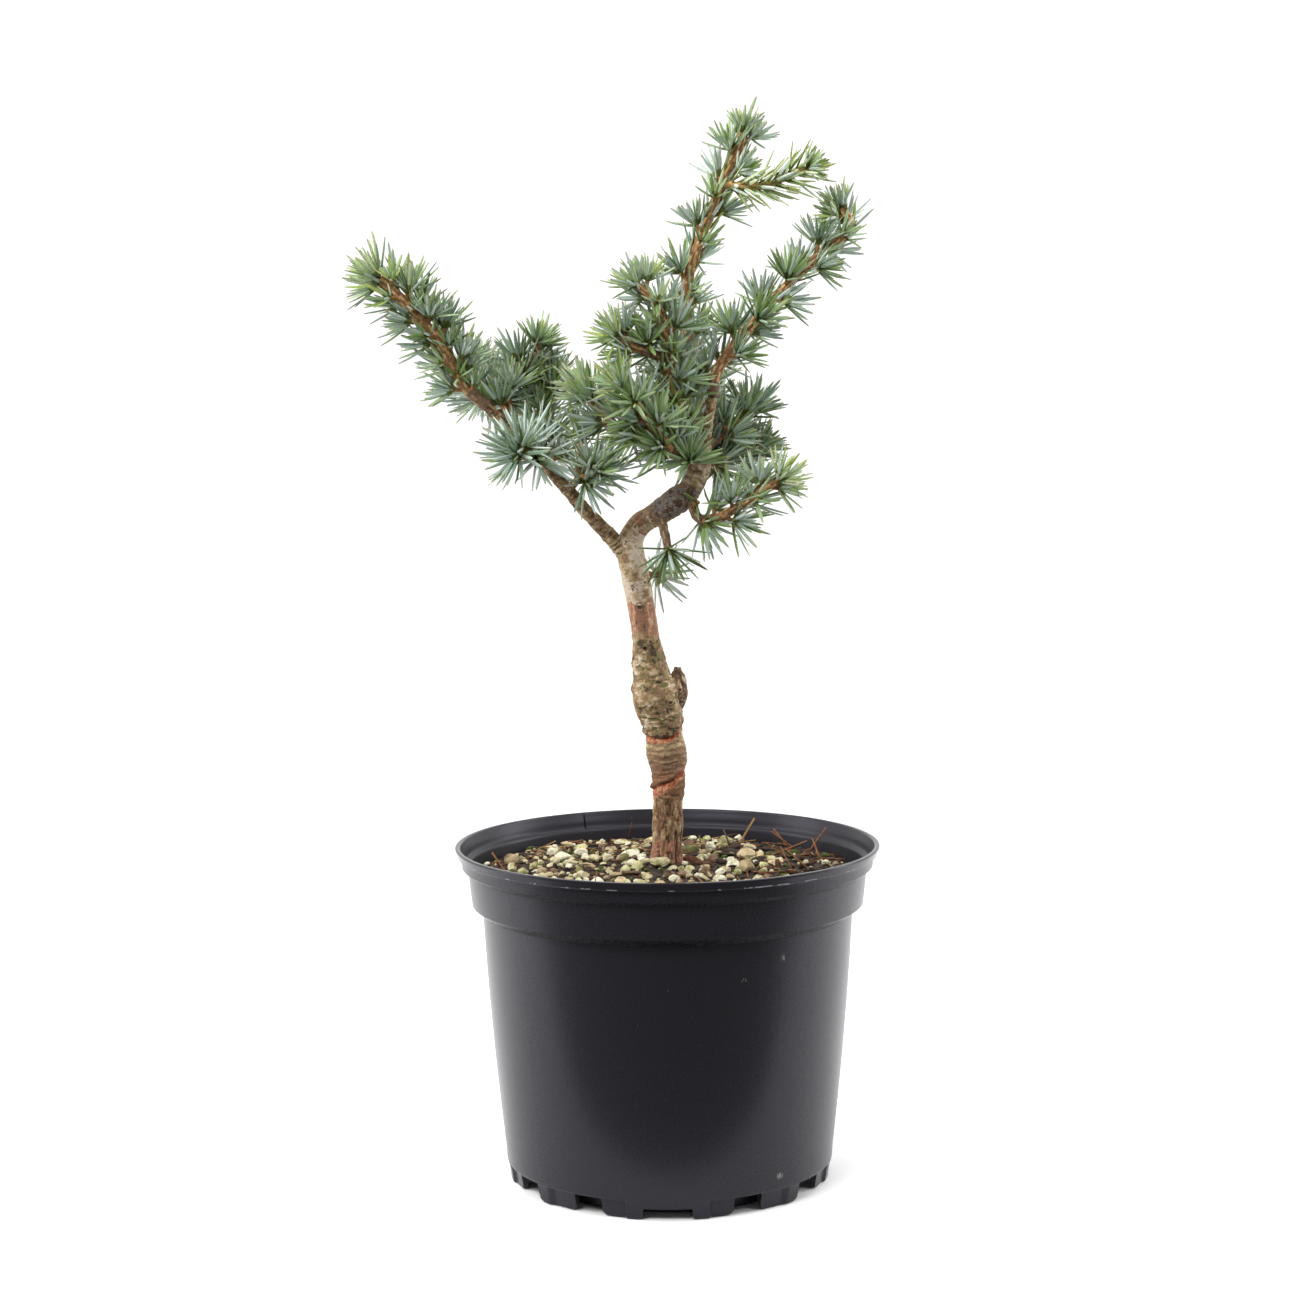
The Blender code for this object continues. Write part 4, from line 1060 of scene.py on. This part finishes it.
def dressStem(heap, out, rng, stem, spec, length, style, leading):
    sides = 14
    centres, outward, radius, along = limbGrid(stem, 0.55, sides)
    rings = len(centres)
    flare = 0.08 if leading or style == "single" else 0.35    # a swelling where the stem meets its limb
    radius = radius * (1 + flare * np.exp(-along / 3.0))
    turn = roundTurns(sides)[None, :] + np.zeros(radius.shape)
    # leaf cushions: low ridges running down the stem, in a close spiral
    lift = np.zeros(radius.shape)
    spacing, halfWidth, above, below, proud = foliage["cushions"]
    for k, s in enumerate(np.arange(0.5, stem["length"], spacing)):
        off = np.abs((turn - k * goldenTurn + math.pi) % (2 * math.pi) - math.pi) * radius
        ahead = along - s
        run = np.exp(-(ahead / np.where(ahead > 0, above, below)) ** 2)
        lift = np.maximum(lift, np.exp(-(off / halfWidth) ** 2) * run)
    p = centres[:, None] + outward * radius[:, :, None]
    rough = valueNoise(p.reshape(-1, 3) / 1.7, 4).reshape(radius.shape) * 0.2
    points = centres[:, None] + outward * (radius - 0.12 + lift * proud + rough)[:, :, None]
    # kinds of surface, as in twigMats: old bark towards the root, then cushions, plain bark and grooves, the
    # grooves darker as painted shade
    old = 1 - stepUp(along, spec["old"] * 0.5, spec["old"] * 1.2) if spec["old"] else along * 0
    kind = np.where(lift > 0.62, 1, np.where(lift < 0.14, 4, 0))
    kind = np.where(old + rough > 0.5, np.where(lift > 0.5, 5, 6), kind)
    if style == "single":
        kind = np.where((kind == 4) | (along < 3.5), 0, 7)
    faces = gridFaces(rings, sides)
    heap.add(points.reshape(-1, 3), [faces], kind.reshape(-1)[faces[:, 0]])
    heap.add(points[0], [caps(1, sides)[0]], 0)
    heap.add(points[-1], [caps(1, sides)[1]], 0)
    end, heading = spotOn(stem, stem["length"])
    addForm(heap, budShape(end, heading, *foliage["tipBud"]), 2)
    young, shade, fan, tipShare = spec["young"], spec["shade"], spec["fan"], spec["tipShare"]
    tipFan = fan if stem["length"] < foliage["soleSpurLength"] else min(fan, foliage["tipFanMost"])
    spurNeedles(out, rng, end, heading, foliage["tipNeedles"], length * tipShare, tipFan, shade,
                foliage["freshAtTip"] if young > 0 else 0.0, heading, spec["facing"])
    if spec["leader"] and style != "single":
        ahead = unit(heading + np.array([0.28, 0, 0]))
        out.append((end[None], ahead[None], np.array([spec["leader"]]), np.array([1.7]), np.zeros((1, 3)),
                    np.array([[0.3, -1.0, 0.2]]), np.array([1])))
    if style == "single":
        singleNeedles(out, rng, stem, 3.0, length, *foliage["shootNeedles"])
        return
    if leading:
        singleNeedles(out, rng, stem, stem["length"] * 0.3, length, *foliage["leadingNeedles"])
    spacing = spec["spacing"]
    first = 7.0 if stem["length"] > 24 else 0.35 * stem["length"]
    last = stem["length"] - 4.0
    count = int((last - first) / spacing) + 1 if stem["length"] > foliage["soleSpurLength"] else 0
    turn = rng.uniform(0, 2 * math.pi)
    for k in range(count):
        s = last - k * (last - first) / max(1, count - 1) + rng.normal() * 0.4
        at, way = spotOn(stem, s)
        turn += goldenTurn
        side = outOfStem(way, turn)
        lean = math.radians(foliage["spurLean"])
        axis = unit(side * math.cos(lean) + way * math.sin(lean) + np.array([0, 0, foliage["spurUpturn"]]))
        root = at + side * (limbRadius(stem, s) * 0.5)
        peg = foliage["pegLength"] * rng.uniform(0.7, 1.5)
        top = at + side * limbRadius(stem, s) + axis * peg
        addForm(heap, stick(root, top, *foliage["pegRadii"]), 3)
        addForm(heap, budShape(top - axis * 0.3, axis, *foliage["spurBud"]), 2)
        fromTip = stem["length"] - s
        near = tipShare + (1 - tipShare) * min(1.0, fromTip / 30)
        fresh = max(0.0, foliage["freshAtTip"] * (1 - fromTip / young)) if young > 0 else 0.0
        number = int(foliage["needlesEach"] * rng.uniform(0.82, 1.15))
        if spec["bareFront"] and axis[1] < -0.5 and s > spec["coveredTo"]:
            number, near = int(number * 0.4), near * 0.7
        reach = length * near * rng.uniform(0.9, 1.06)
        spurNeedles(out, rng, top, axis, number, reach, fan, shade, fresh, way, spec["facing"])


def buildMass(name, spec):
    spec = {**massDefaults, **spec}
    rng = np.random.default_rng(spec["seed"])
    parent = limbs[spec["parent"]]
    total = sum(leg[0] for leg in spec["legs"])
    stem = buildLimb(limbPoints(parent, spec["at"])[0], spec["legs"],
                     [(0, spec["radii"][0]), (total, spec["radii"][1])])
    heap, out = Heap(), []
    dressStem(heap, out, rng, stem, spec, spec["needle"], "spurs", spec["leading"])
    if spec["side"]:
        at, legs, length, style = spec["side"]
        total = sum(leg[0] for leg in legs)
        thick, thin = spec["radii"][0] - 0.3, spec["radii"][1]
        if style == "single":
            thick, thin = foliage["shootRadii"]
        twig = buildLimb(limbPoints(stem, at)[0], legs, [(0, thick), (total, thin)])
        dressStem(heap, out, rng, twig, {**spec, "bareFront": False}, length, style, False)
    place(heap.make(name.replace("foliage", "twigs"), twigMats), "foliage", name)
    parts = [np.concatenate(part) for part in zip(*out)]
    roots, ways, lengths = parts[:3]
    # a needle that would run into the trunk or a bough is left out
    clear = np.ones(len(roots), bool)
    for share in (0.3, 0.6, 1.0):
        spots = roots + ways * (lengths * share)[:, None]
        gap = (np.linalg.norm(spots[:, None] - limbCloud[None], axis=2) - limbCloudRadii).min(axis=1)
        clear &= gap > foliage["limbClearance"]
    luck = np.random.default_rng(spec["seed"] + 1).uniform(size=len(roots))
    hiding = hidesLimb(roots, ways, lengths, bareTrunk, foliage["bareSide"], (0.0, 0.25, 0.5, 0.75, 1.0))
    clear &= (luck < foliage["bareKept"]) | ~hiding
    if spec["bareFront"]:
        shown = limbPoints(stem, np.arange(max(4.0, spec["coveredTo"]), stem["length"] - 7.0, 1.0))
        hiding = hidesLimb(roots, ways, lengths, shown, spec["radii"][1] * 0.85, (0.3, 0.5, 0.75, 1.0))
        clear &= (luck < spec["bareFront"]) | ~hiding
    place(needleMesh(name.replace("foliage", "needles"), *[part[clear] for part in parts]), "foliage", name)
    return int(clear.sum())


needleTotal = sum(buildMass(name, spec) for name, spec in massSizes.items())
print("needles:", needleTotal)


# Bark: cracked at the foot, wrinkled below the graft, plated above it, then smooth and pale

# kind: (name, dark colour, light colour, grain in mm)
barkKinds = {
    "brown": ("Cedar bark, brown", "61422d", "90694a", 1.0),
    "red": ("Cedar bark, red brown", "805241", "ad7b63", 1.1),
    "mauve": ("Cedar bark, dull mauve brown", "6e5340", "95755a", 1.0),
    "tan": ("Cedar bark, olive tan", "80694a", "a68f68", 1.1),
    "sand": ("Cedar bark, sandy", "9c8567", "c2ab88", 1.1),
    "pale": ("Cedar bark, smooth pale", "b6a38d", "d5c5b2", 1.4),
    "moss": ("Cedar bark, algae in cracks", "5a5532", "827c4b", 0.8),
    "crack": ("Cedar bark, deep crack", "32271d", "574433", 0.8),
    "scar": ("Tie scar, orange callus", "8c4a2e", "b9724c", 0.9),
    "lip": ("Tie scar, healed edge", "9c6c4e", "c39674", 1.0),
    "rust": ("Tie scar, rust red", "6c3020", "9c4c32", 0.8),
    "dead": ("Dead wood, torn brown", "423022", "765b44", 1.0),
    "green": ("Cedar bark, pale green", "989168", "bab48b", 1.2),
    "elbow": ("Cedar bark, dark grey brown", "635850", "a0958b", 1.1),
}
barkMats = [grainMaterial("bark", *kind) for kind in barkKinds.values()]
barkIndex = {key: i for i, key in enumerate(barkKinds)}

# Tie scar: one wire wound up the trunk, as unwound bearings with the height and half width at each
scar = {
    "turn": [-230, -180, -135, -90, -55, -20, 30, 90, 180, 225, 265, 300, 330, 360, 430],
    "height": [170.0, 171.6, 173.4, 176.0, 179.0, 182.3, 185.4, 190.0, 197.4, 196.5, 196.4, 197.8, 200.4,
               203.6, 208.0],
    "half": [0.6, 2.8, 2.7, 2.3, 2.0, 1.7, 1.0, 1.0, 1.8, 1.7, 1.4, 1.1, 0.9, 0.6, 0.2],
}
# knots: height, bearing, radius, how proud, how deep its eye
knots = [(238.0, -98, 2.6, 1.0, 1.4), (256.5, -97, 2.4, 0.7, 0.7), (219.0, 170, 2.2, 1.3, 0.2),
         (231.0, 175, 1.8, 1.0, 0.2), (214.0, -60, 1.6, 0.3, 0.9), (174.0, 175, 1.4, 0.9, 0.0),
         (266.0, -110, 1.3, 0.5, 0.4), (209.0, 100, 2.4, 0.9, 0.6), (247.0, 60, 2.0, 0.8, 0.5),
         (188.0, 20, 1.6, 0.6, 0.3), (183.0, 120, 1.8, 0.7, 0.5)]


# The trunk's zones of bark by height in mm, as soft steps or as where one coat ends. The elbow, the red
# patch below it and what is beyond go by mm along the trunk
barkZones = {
    "foot": (163, 171), "wrinkled": ((166, 172), (196, 200)), "plated": ((196, 200), (238, 248)),
    "smooth": (238, 246), "elbow": ((160, 166), (182, 188)), "bandTo": 258, "ringTo": 243.0,
    "platesTo": 240.5, "wrinklesTo": 197.5, "brownTo": 170, "redTo": 151, "redPatch": (152, 163),
    "elbowCoat": (163, 184),
}
# the share of each kind of bark in a coat, from its grooves to its crests
coats = {
    "smooth": {"mauve": 0.08, "tan": 0.12, "sand": 0.34, "pale": 0.46},
    "band": {"crack": 0.02, "mauve": 0.26, "red": 0.42, "lip": 0.23, "sand": 0.07},
    "plates": {"crack": 0.05, "moss": 0.12, "mauve": 0.31, "tan": 0.31, "sand": 0.16, "pale": 0.05},
    "wrinkles": {"crack": 0.07, "brown": 0.43, "mauve": 0.25, "tan": 0.16, "sand": 0.08, "pale": 0.01},
    "foot": {"crack": 0.17, "brown": 0.33, "mauve": 0.25, "tan": 0.18, "sand": 0.07},
    "elbow": {"crack": 0.03, "dead": 0.14, "elbow": 0.6, "mauve": 0.17, "tan": 0.06},
    "beyond": {"dead": 0.04, "red": 0.11, "elbow": 0.19, "tan": 0.28, "sand": 0.26, "pale": 0.12},
    "scar": {"rust": 0.16, "scar": 0.52, "lip": 0.32},
    "bough": {"crack": 0.06, "dead": 0.10, "brown": 0.14, "mauve": 0.22, "tan": 0.28, "sand": 0.20},
    "snag": {"crack": 0.1, "dead": 0.12, "mauve": 0.27, "tan": 0.26, "sand": 0.17, "pale": 0.08},
}


# Thin branching lines where a noise crosses zero
def ridgeLines(p, seed, width):
    return 1 - stepUp(np.abs(layeredNoise(p, seed, 2)), 0.0, width)


# Kinds of bark dealt out by a noise: the lowest share of places gets the first kind, and so on up.
# where says which places the shares are counted over
def deal(level, coatName, where=None):
    shares = coats[coatName]
    kinds = np.array([barkIndex[name] for name in shares])
    counted = level if where is None else level[where]
    cuts = np.zeros(len(shares) - 1)
    if len(counted):
        cuts = np.quantile(counted, np.cumsum(list(shares.values()))[:-1])
    return kinds[np.searchsorted(cuts, level)]


# One kind of bark where a condition holds, another where it doesn't
def either(condition, kind, other):
    return np.where(condition, barkIndex[kind], barkIndex[other])


# A limb's surface unrolled: points round a tube of this radius, with the distance along it as height
def unrolled(along, bearing, radius):
    turn = np.radians(bearing)
    return np.stack([np.cos(turn) * radius, np.sin(turn) * radius, along], axis=1)


# 1 between two heights, with a soft step at each
def between(z, low, high):
    return stepUp(z, *low) * (1 - stepUp(z, *high))


# Lines across a limb: one wave in so many mm, bent by a noise
def waves(along, each, noise):
    return np.sin(along * 2 * math.pi / each + noise)


def trunkRelief(p, along, bearing):
    z = p[:, 2]
    wrapped = unrolled(along, bearing, 7)
    fine = layeredNoise(p, 43, 2)
    speck = layeredNoise(p / 2.2, 81, 3)
    patch = layeredNoise(p / 6.0, 83, 2)
    crosswise = layeredNoise(wrapped / [5.5, 5.5, 0.95], 55, 3)
    lengthwise = layeredNoise(wrapped / [1.0, 1.0, 5.5], 57, 3)
    low = 1 - stepUp(z, *barkZones["foot"])
    wrinkled = between(z, *barkZones["wrinkled"])
    plated = between(z, *barkZones["plated"])
    smooth = stepUp(z, *barkZones["smooth"])
    elbow = between(along, *barkZones["elbow"])
    # braided vertical fissures about 1.5 mm apart
    braid = layeredNoise(wrapped / [4.0, 4.0, 8.0], 45, 2)
    fissure = ridgeLines(wrapped / [1.5, 1.5, 7.5] + braid[:, None] * 0.7, 41, 0.30)
    plates = ridgeLines(wrapped / [4.2, 4.2, 2.9] + layeredNoise(p / 3, 3, 2)[:, None] * 0.6, 51, 0.14)
    wrinkle = waves(along, 2.9, layeredNoise(wrapped / [6, 6, 5.0], 61, 3) * 7)
    fineRing = waves(along, 1.2, layeredNoise(wrapped / [4, 4, 2.0], 71, 2) * 6)
    lift = layeredNoise(p / 7.0, 31, 2) * 0.45 + 0.22 * fine * (1 - 0.55 * smooth)
    lift += low * (-0.62 * fissure + 0.35 * lengthwise)
    lift += wrinkled * (0.16 * wrinkle + 0.16 * crosswise + 0.12 * speck)
    lift += plated * (-0.5 * plates + 0.13 * crosswise + 0.3 * speck)
    lift += smooth * (0.04 * fineRing + 0.06 * crosswise + 0.14 * speck)
    lift += elbow * (-0.35 * ridgeLines(p / 2.6, 91, 0.2) + 0.35 * layeredNoise(p / 2.0, 93, 2))
    edge = patch * 2.4 + speck * 2.0 + fine * 1.2
    at = z + edge
    # smooth and pale with thin rings under the fork
    kind = deal(crosswise * 0.45 + patch * 0.6 + speck * 0.7, "smooth", z > 255)
    kind[(fineRing > 0.96) & (patch < 0.0)] = barkIndex["tan"]
    kind[(smooth > 0.5) & (speck > np.quantile(speck, 0.985))] = barkIndex["dead"]
    # muted red band with lengthwise streaks, a pale green ring below it
    band = deal(lengthwise + fine * 0.6, "band")
    kind = np.where(at < barkZones["bandTo"], band, kind)
    kind = np.where(at < barkZones["ringTo"], either(patch + speck > 0, "green", "tan"), kind)
    # plates: grey tan, mauve and olive in streaks
    coat = deal(crosswise * 0.22 + patch * 0.7 + speck * 0.6 + fine * 0.2, "plates", (z > 198) & (z < 240))
    coat = np.where((plates > 0.55) & (fine < 0.2), either(patch > -0.2, "moss", "crack"), coat)
    kind = np.where(at < barkZones["platesTo"], coat, kind)
    # wrinkles: tan crests over brown grooves, browner and rougher below
    coat = deal(wrinkle * 0.16 + crosswise * 0.4 + (z - 184) / 14 + fine * 0.3 + patch * 0.4, "wrinkles",
                (z > 168) & (z < 197))
    kind = np.where(z + edge * 0.3 < barkZones["wrinklesTo"], coat, kind)
    # foot: brown, braided, redder near the soil
    coat = deal(lengthwise + fine * 0.4 - fissure * 0.8, "foot", z < barkZones["foot"][1])
    coat[(z + patch * 4 < barkZones["redTo"]) & (fissure < 0.5) & (fine > -0.35)] = barkIndex["red"]
    kind = np.where(z + edge * 0.6 < barkZones["brownTo"], coat, kind)
    # crook: a reddish patch above the fork, a dark elbow, then greyer and paler beyond it
    first, last = barkZones["redPatch"]
    kind = np.where((along > first) & (along < last) & (patch + fine * 0.5 > -0.1), band, kind)
    first, last = barkZones["elbowCoat"]
    coat = deal(speck * 0.5 + patch * 0.5 + fine * 0.3, "elbow")
    kind = np.where((along + edge > first) & (along < last), coat, kind)
    kind = np.where(along + edge > last, deal(speck + crosswise, "beyond"), kind)
    lift, kind = scarRelief(lift, kind, z, bearing, speck, fine, lengthwise)
    return knotRelief(lift, kind, z, bearing, speck, fine)


# The tie scar: a strip of callus with a groove along its upper edge and a swollen lip above that
def scarRelief(lift, kind, z, bearing, speck, fine, lengthwise):
    for winding in (-360, 0, 360):
        way = bearing + winding
        inside = (way > scar["turn"][0]) & (way < scar["turn"][-1])
        middle = np.interp(way, scar["turn"], scar["height"])
        half = np.interp(way, scar["turn"], scar["half"])
        across = (z - middle) / half + speck * 0.3 + fine * 0.12
        strip = np.where(inside, 1 - stepUp(np.abs(across), 0.8, 1.1), 0)
        groove = np.where(inside, np.exp(-((z - middle - half * 0.75) / 0.6) ** 2), 0)
        lift += strip * (0.3 * np.exp(-(across + 0.3) ** 2 * 3) - 0.2) - 0.85 * groove
        lift += np.where(inside, 0.6 * np.exp(-((z - middle - half - 1.2) / 0.9) ** 2), 0)
        skin = deal(fine + lengthwise * 0.6 - across * 0.35, "scar", strip > 0.5)
        kind = np.where(strip > 0.5, skin, kind)
        kind = np.where((groove > 0.8) & (fine < 0.2), either(speck > 0, "rust", "dead"), kind)
    return lift, kind


def knotRelief(lift, kind, z, bearing, speck, fine):
    for height, way, size, proud, eye in knots:
        off = turnBetween(bearing, way) * math.pi / 180 * 7
        reach = np.hypot(off, z - height) / size * (1 + 0.25 * speck)
        lift += proud * np.exp(-reach ** 2 * 1.2) - (proud * 0.6 + eye) * np.exp(-reach ** 2 * 7)
        kind[(reach < 0.42) & (eye > 0.3)] = barkIndex["crack"]
        kind[(reach > 0.75) & (reach < 0.95) & (fine < 0.2)] = barkIndex["dead"]
    return lift, kind


def boughRelief(p, along, bearing):
    wrapped = unrolled(along, bearing, 3)
    rings = waves(along, 1.3, layeredNoise(wrapped / 2.5, 17, 2) * 5)
    speck = layeredNoise(p / 1.5, 23, 3)
    lift = 0.36 * layeredNoise(p / 1.8, 13, 3) + 0.07 * rings
    lift -= 0.25 * ridgeLines(wrapped / [1.4, 1.4, 5.0], 19, 0.14)
    # the collar at the trunk is wrinkled crosswise and mossy in its folds
    collar = 1 - stepUp(along, 7, 17)
    fold = waves(along, 2.3, layeredNoise(wrapped / [2.5, 2.5, 4.0], 27, 2) * 5)
    lift += collar * (0.28 * fold - 0.2 * ridgeLines(p / 2.2, 29, 0.2))
    kind = deal(speck + rings * 0.12 - (along - 30) / 400 + collar * fold * 0.35, "bough")
    return lift, np.where((collar > 0.4) & (fold < -0.55), either(speck > 0, "moss", "dead"), kind)


def snagRelief(p, along, bearing):
    torn = ridgeLines(p / [2.0, 2.0, 7.0], 47, 0.28)
    streak = layeredNoise(p / [1.1, 1.1, 4.5], 49, 3)
    lift = 0.5 * layeredNoise(p / 2.5, 37, 3) + 0.25 * streak - 0.7 * torn * stepUp(along, 8, 15)
    kind = deal(streak + layeredNoise(p / 1.2, 53, 2) * 0.5, "snag")
    kind[(turnBetween(bearing, 20) < 50) & (along > 6) & (streak < 0.25)] = barkIndex["dead"]
    kind[(along > 19.5) & (streak < 0.35)] = barkIndex["dead"]
    kind[(torn > 0.6) & (along > 4)] = barkIndex["crack"]
    return lift, kind


def barkGrid(limb, step, sides, relief, flare=0.0, flareLength=3.5):
    centres, outward, radius, along = limbGrid(limb, step, sides)
    skin = centres[:, None] + outward * radius[:, :, None]
    flat = outward.reshape(-1, 3)
    bearing = np.degrees(np.arctan2(flat[:, 1], flat[:, 0]))
    lift, kind = relief(skin.reshape(-1, 3), along.reshape(-1), bearing)
    lift = lift.reshape(radius.shape)
    fade = stepUp(limb["length"] - along, 0, 3) * 0.8 + 0.2
    wide = radius * (1 + flare * np.exp(-along / flareLength))
    points = (centres[:, None] + outward * (wide + lift * fade)[:, :, None]).reshape(-1, 3)
    faces = gridFaces(len(centres), sides)
    return points, faces, kind[faces[:, 0]], caps(len(centres), sides)


def buildBark(name, slotName, nodes, parts):
    heap = Heap()
    for points, faces, kinds, ends in parts:
        heap.add(points, [faces] + ends, [kinds, kinds[0], kinds[-1]])
    return place(heap.make(name, barkMats), slotName, *nodes)


def trunkWithFoot(p, along, bearing):
    lift, kind = trunkRelief(p, along, bearing)
    fade = np.maximum(0, 1 - along / 14.0) ** 2
    return lift + 0.9 * fade * np.cos(5 * np.radians(bearing) + 0.6), kind


buildBark("trunk_bark", "trunk", ["trunk"], [
    barkGrid(limbs["trunk"], 0.42, 112, trunkWithFoot),
    barkGrid(limbs["snag"], 0.45, 64, snagRelief)])
# how much each bough swells at its foot, and over how many mm
boughFeet = {"bough_left": (0.42, 12.0), "bough_leader": (0.35, 3.5), "bough_right": (0.35, 3.5)}
for name, foot in boughFeet.items():
    buildBark(name + "_bark", "bough", [name], [barkGrid(limbs[name], 0.5, 44, boughRelief, *foot)])
print("bark done")


# Camera as in the photograph: 1.2 m away, a little above the plant's middle, looking slightly down
camera = {"distance": 1.2, "height": 0.36586, "aside": -0.00696, "down": 6.103, "roll": 0.494,
          "focalPixels": 2716.2, "framePixels": 1300, "sensor": 36.0}
view = bpy.data.objects.new("camera", bpy.data.cameras.new("camera"))
bpy.context.scene.collection.objects.link(view)
view.data.sensor_width = camera["sensor"]
view.data.lens = camera["focalPixels"] / camera["framePixels"] * camera["sensor"]
view.data.clip_start = 0.05
place0 = Matrix.Translation(Vector((camera["aside"], -camera["distance"], camera["height"])))
look = Matrix.Rotation(math.radians(90 - camera["down"]), 4, "X")
view.matrix_world = place0 @ look @ Matrix.Rotation(math.radians(-camera["roll"]), 4, "Z")
bpy.context.scene.camera = view

# Studio: a white backdrop and side walls, a darker room in front, soft boxes above and at both sides
studio = {
    "backdrop": 1.15, "room": 0.25,
    # name, watts, width and height, place and aim, in metres
    "softBoxes": (
        ("key soft box", 21.0, (0.9, 0.7), (-0.75, -1.0, 1.35), (0, 0, 0.28)),
        ("small fill box", 5.0, (0.35, 0.35), (1.0, -0.85, 1.1), (0, 0, 0.25)),
        ("left soft box", 7.5, (0.5, 1.2), (-1.1, -0.05, 0.6), (0, 0, 0.2)),
        ("right soft box", 7.0, (0.4, 1.2), (1.1, 0.25, 0.6), (0, 0, 0.2)),
        ("top soft box", 10.0, (1.4, 1.4), (0, 0.3, 1.7), (0, 0.1, 0.1))),
    # the sheet ends two fingers' width in front of the pot, so the pot's low front mirrors the darker room
    "sheetFront": -0.118, "sheetBack": 1.2, "sheetHalf": 1.6, "sheetBelow": 0.0002,
}
bpy.context.scene.view_settings.view_transform = "Standard"
world = bpy.data.worlds.new("white studio")
bpy.context.scene.world = world
world.use_nodes = True
tree = world.node_tree
way = addNode(tree, "ShaderNodeTexCoord")
axes = addNode(tree, "ShaderNodeSeparateXYZ", links={"Vector": way.outputs["Generated"]})
shades = {"interpolation_type": "SMOOTHSTEP", 1: -0.5, 2: 0.0, 3: studio["room"], 4: studio["backdrop"]}
walls = addNode(tree, "ShaderNodeMapRange", shades, {0: axes.outputs["Y"]})
background = tree.nodes["Background"]
background.inputs["Color"].default_value = (1, 1, 1, 1)
tree.links.new(walls.outputs["Result"], background.inputs["Strength"])


def softBox(name, power, size, at, aim):
    light = bpy.data.lights.new(name, "AREA")
    light.shape = "RECTANGLE"
    light.size, light.size_y = size
    light.energy = power
    obj = bpy.data.objects.new(name, light)
    bpy.context.scene.collection.objects.link(obj)
    obj.location = at
    obj.rotation_euler = (Vector(aim) - Vector(at)).to_track_quat("-Z", "Y").to_euler()


for box in studio["softBoxes"]:
    softBox(*box)

floorMat, floorTree, floorShader = startMaterial("White paper sweep, matt", "ffffff", 0.9)
addBump(floorTree, floorShader, noiseNode(floorTree, 2.0), 0.02, 0.0001)
half, front, back = studio["sheetHalf"], studio["sheetFront"], studio["sheetBack"]
floor = makeMesh("paper_sweep", [(-half, front, 0), (half, front, 0), (half, back, 0), (-half, back, 0)],
                 [np.array([[0, 1, 2, 3]])], [floorMat])
floor.location.z = -studio["sheetBelow"]
print("camera and studio done")
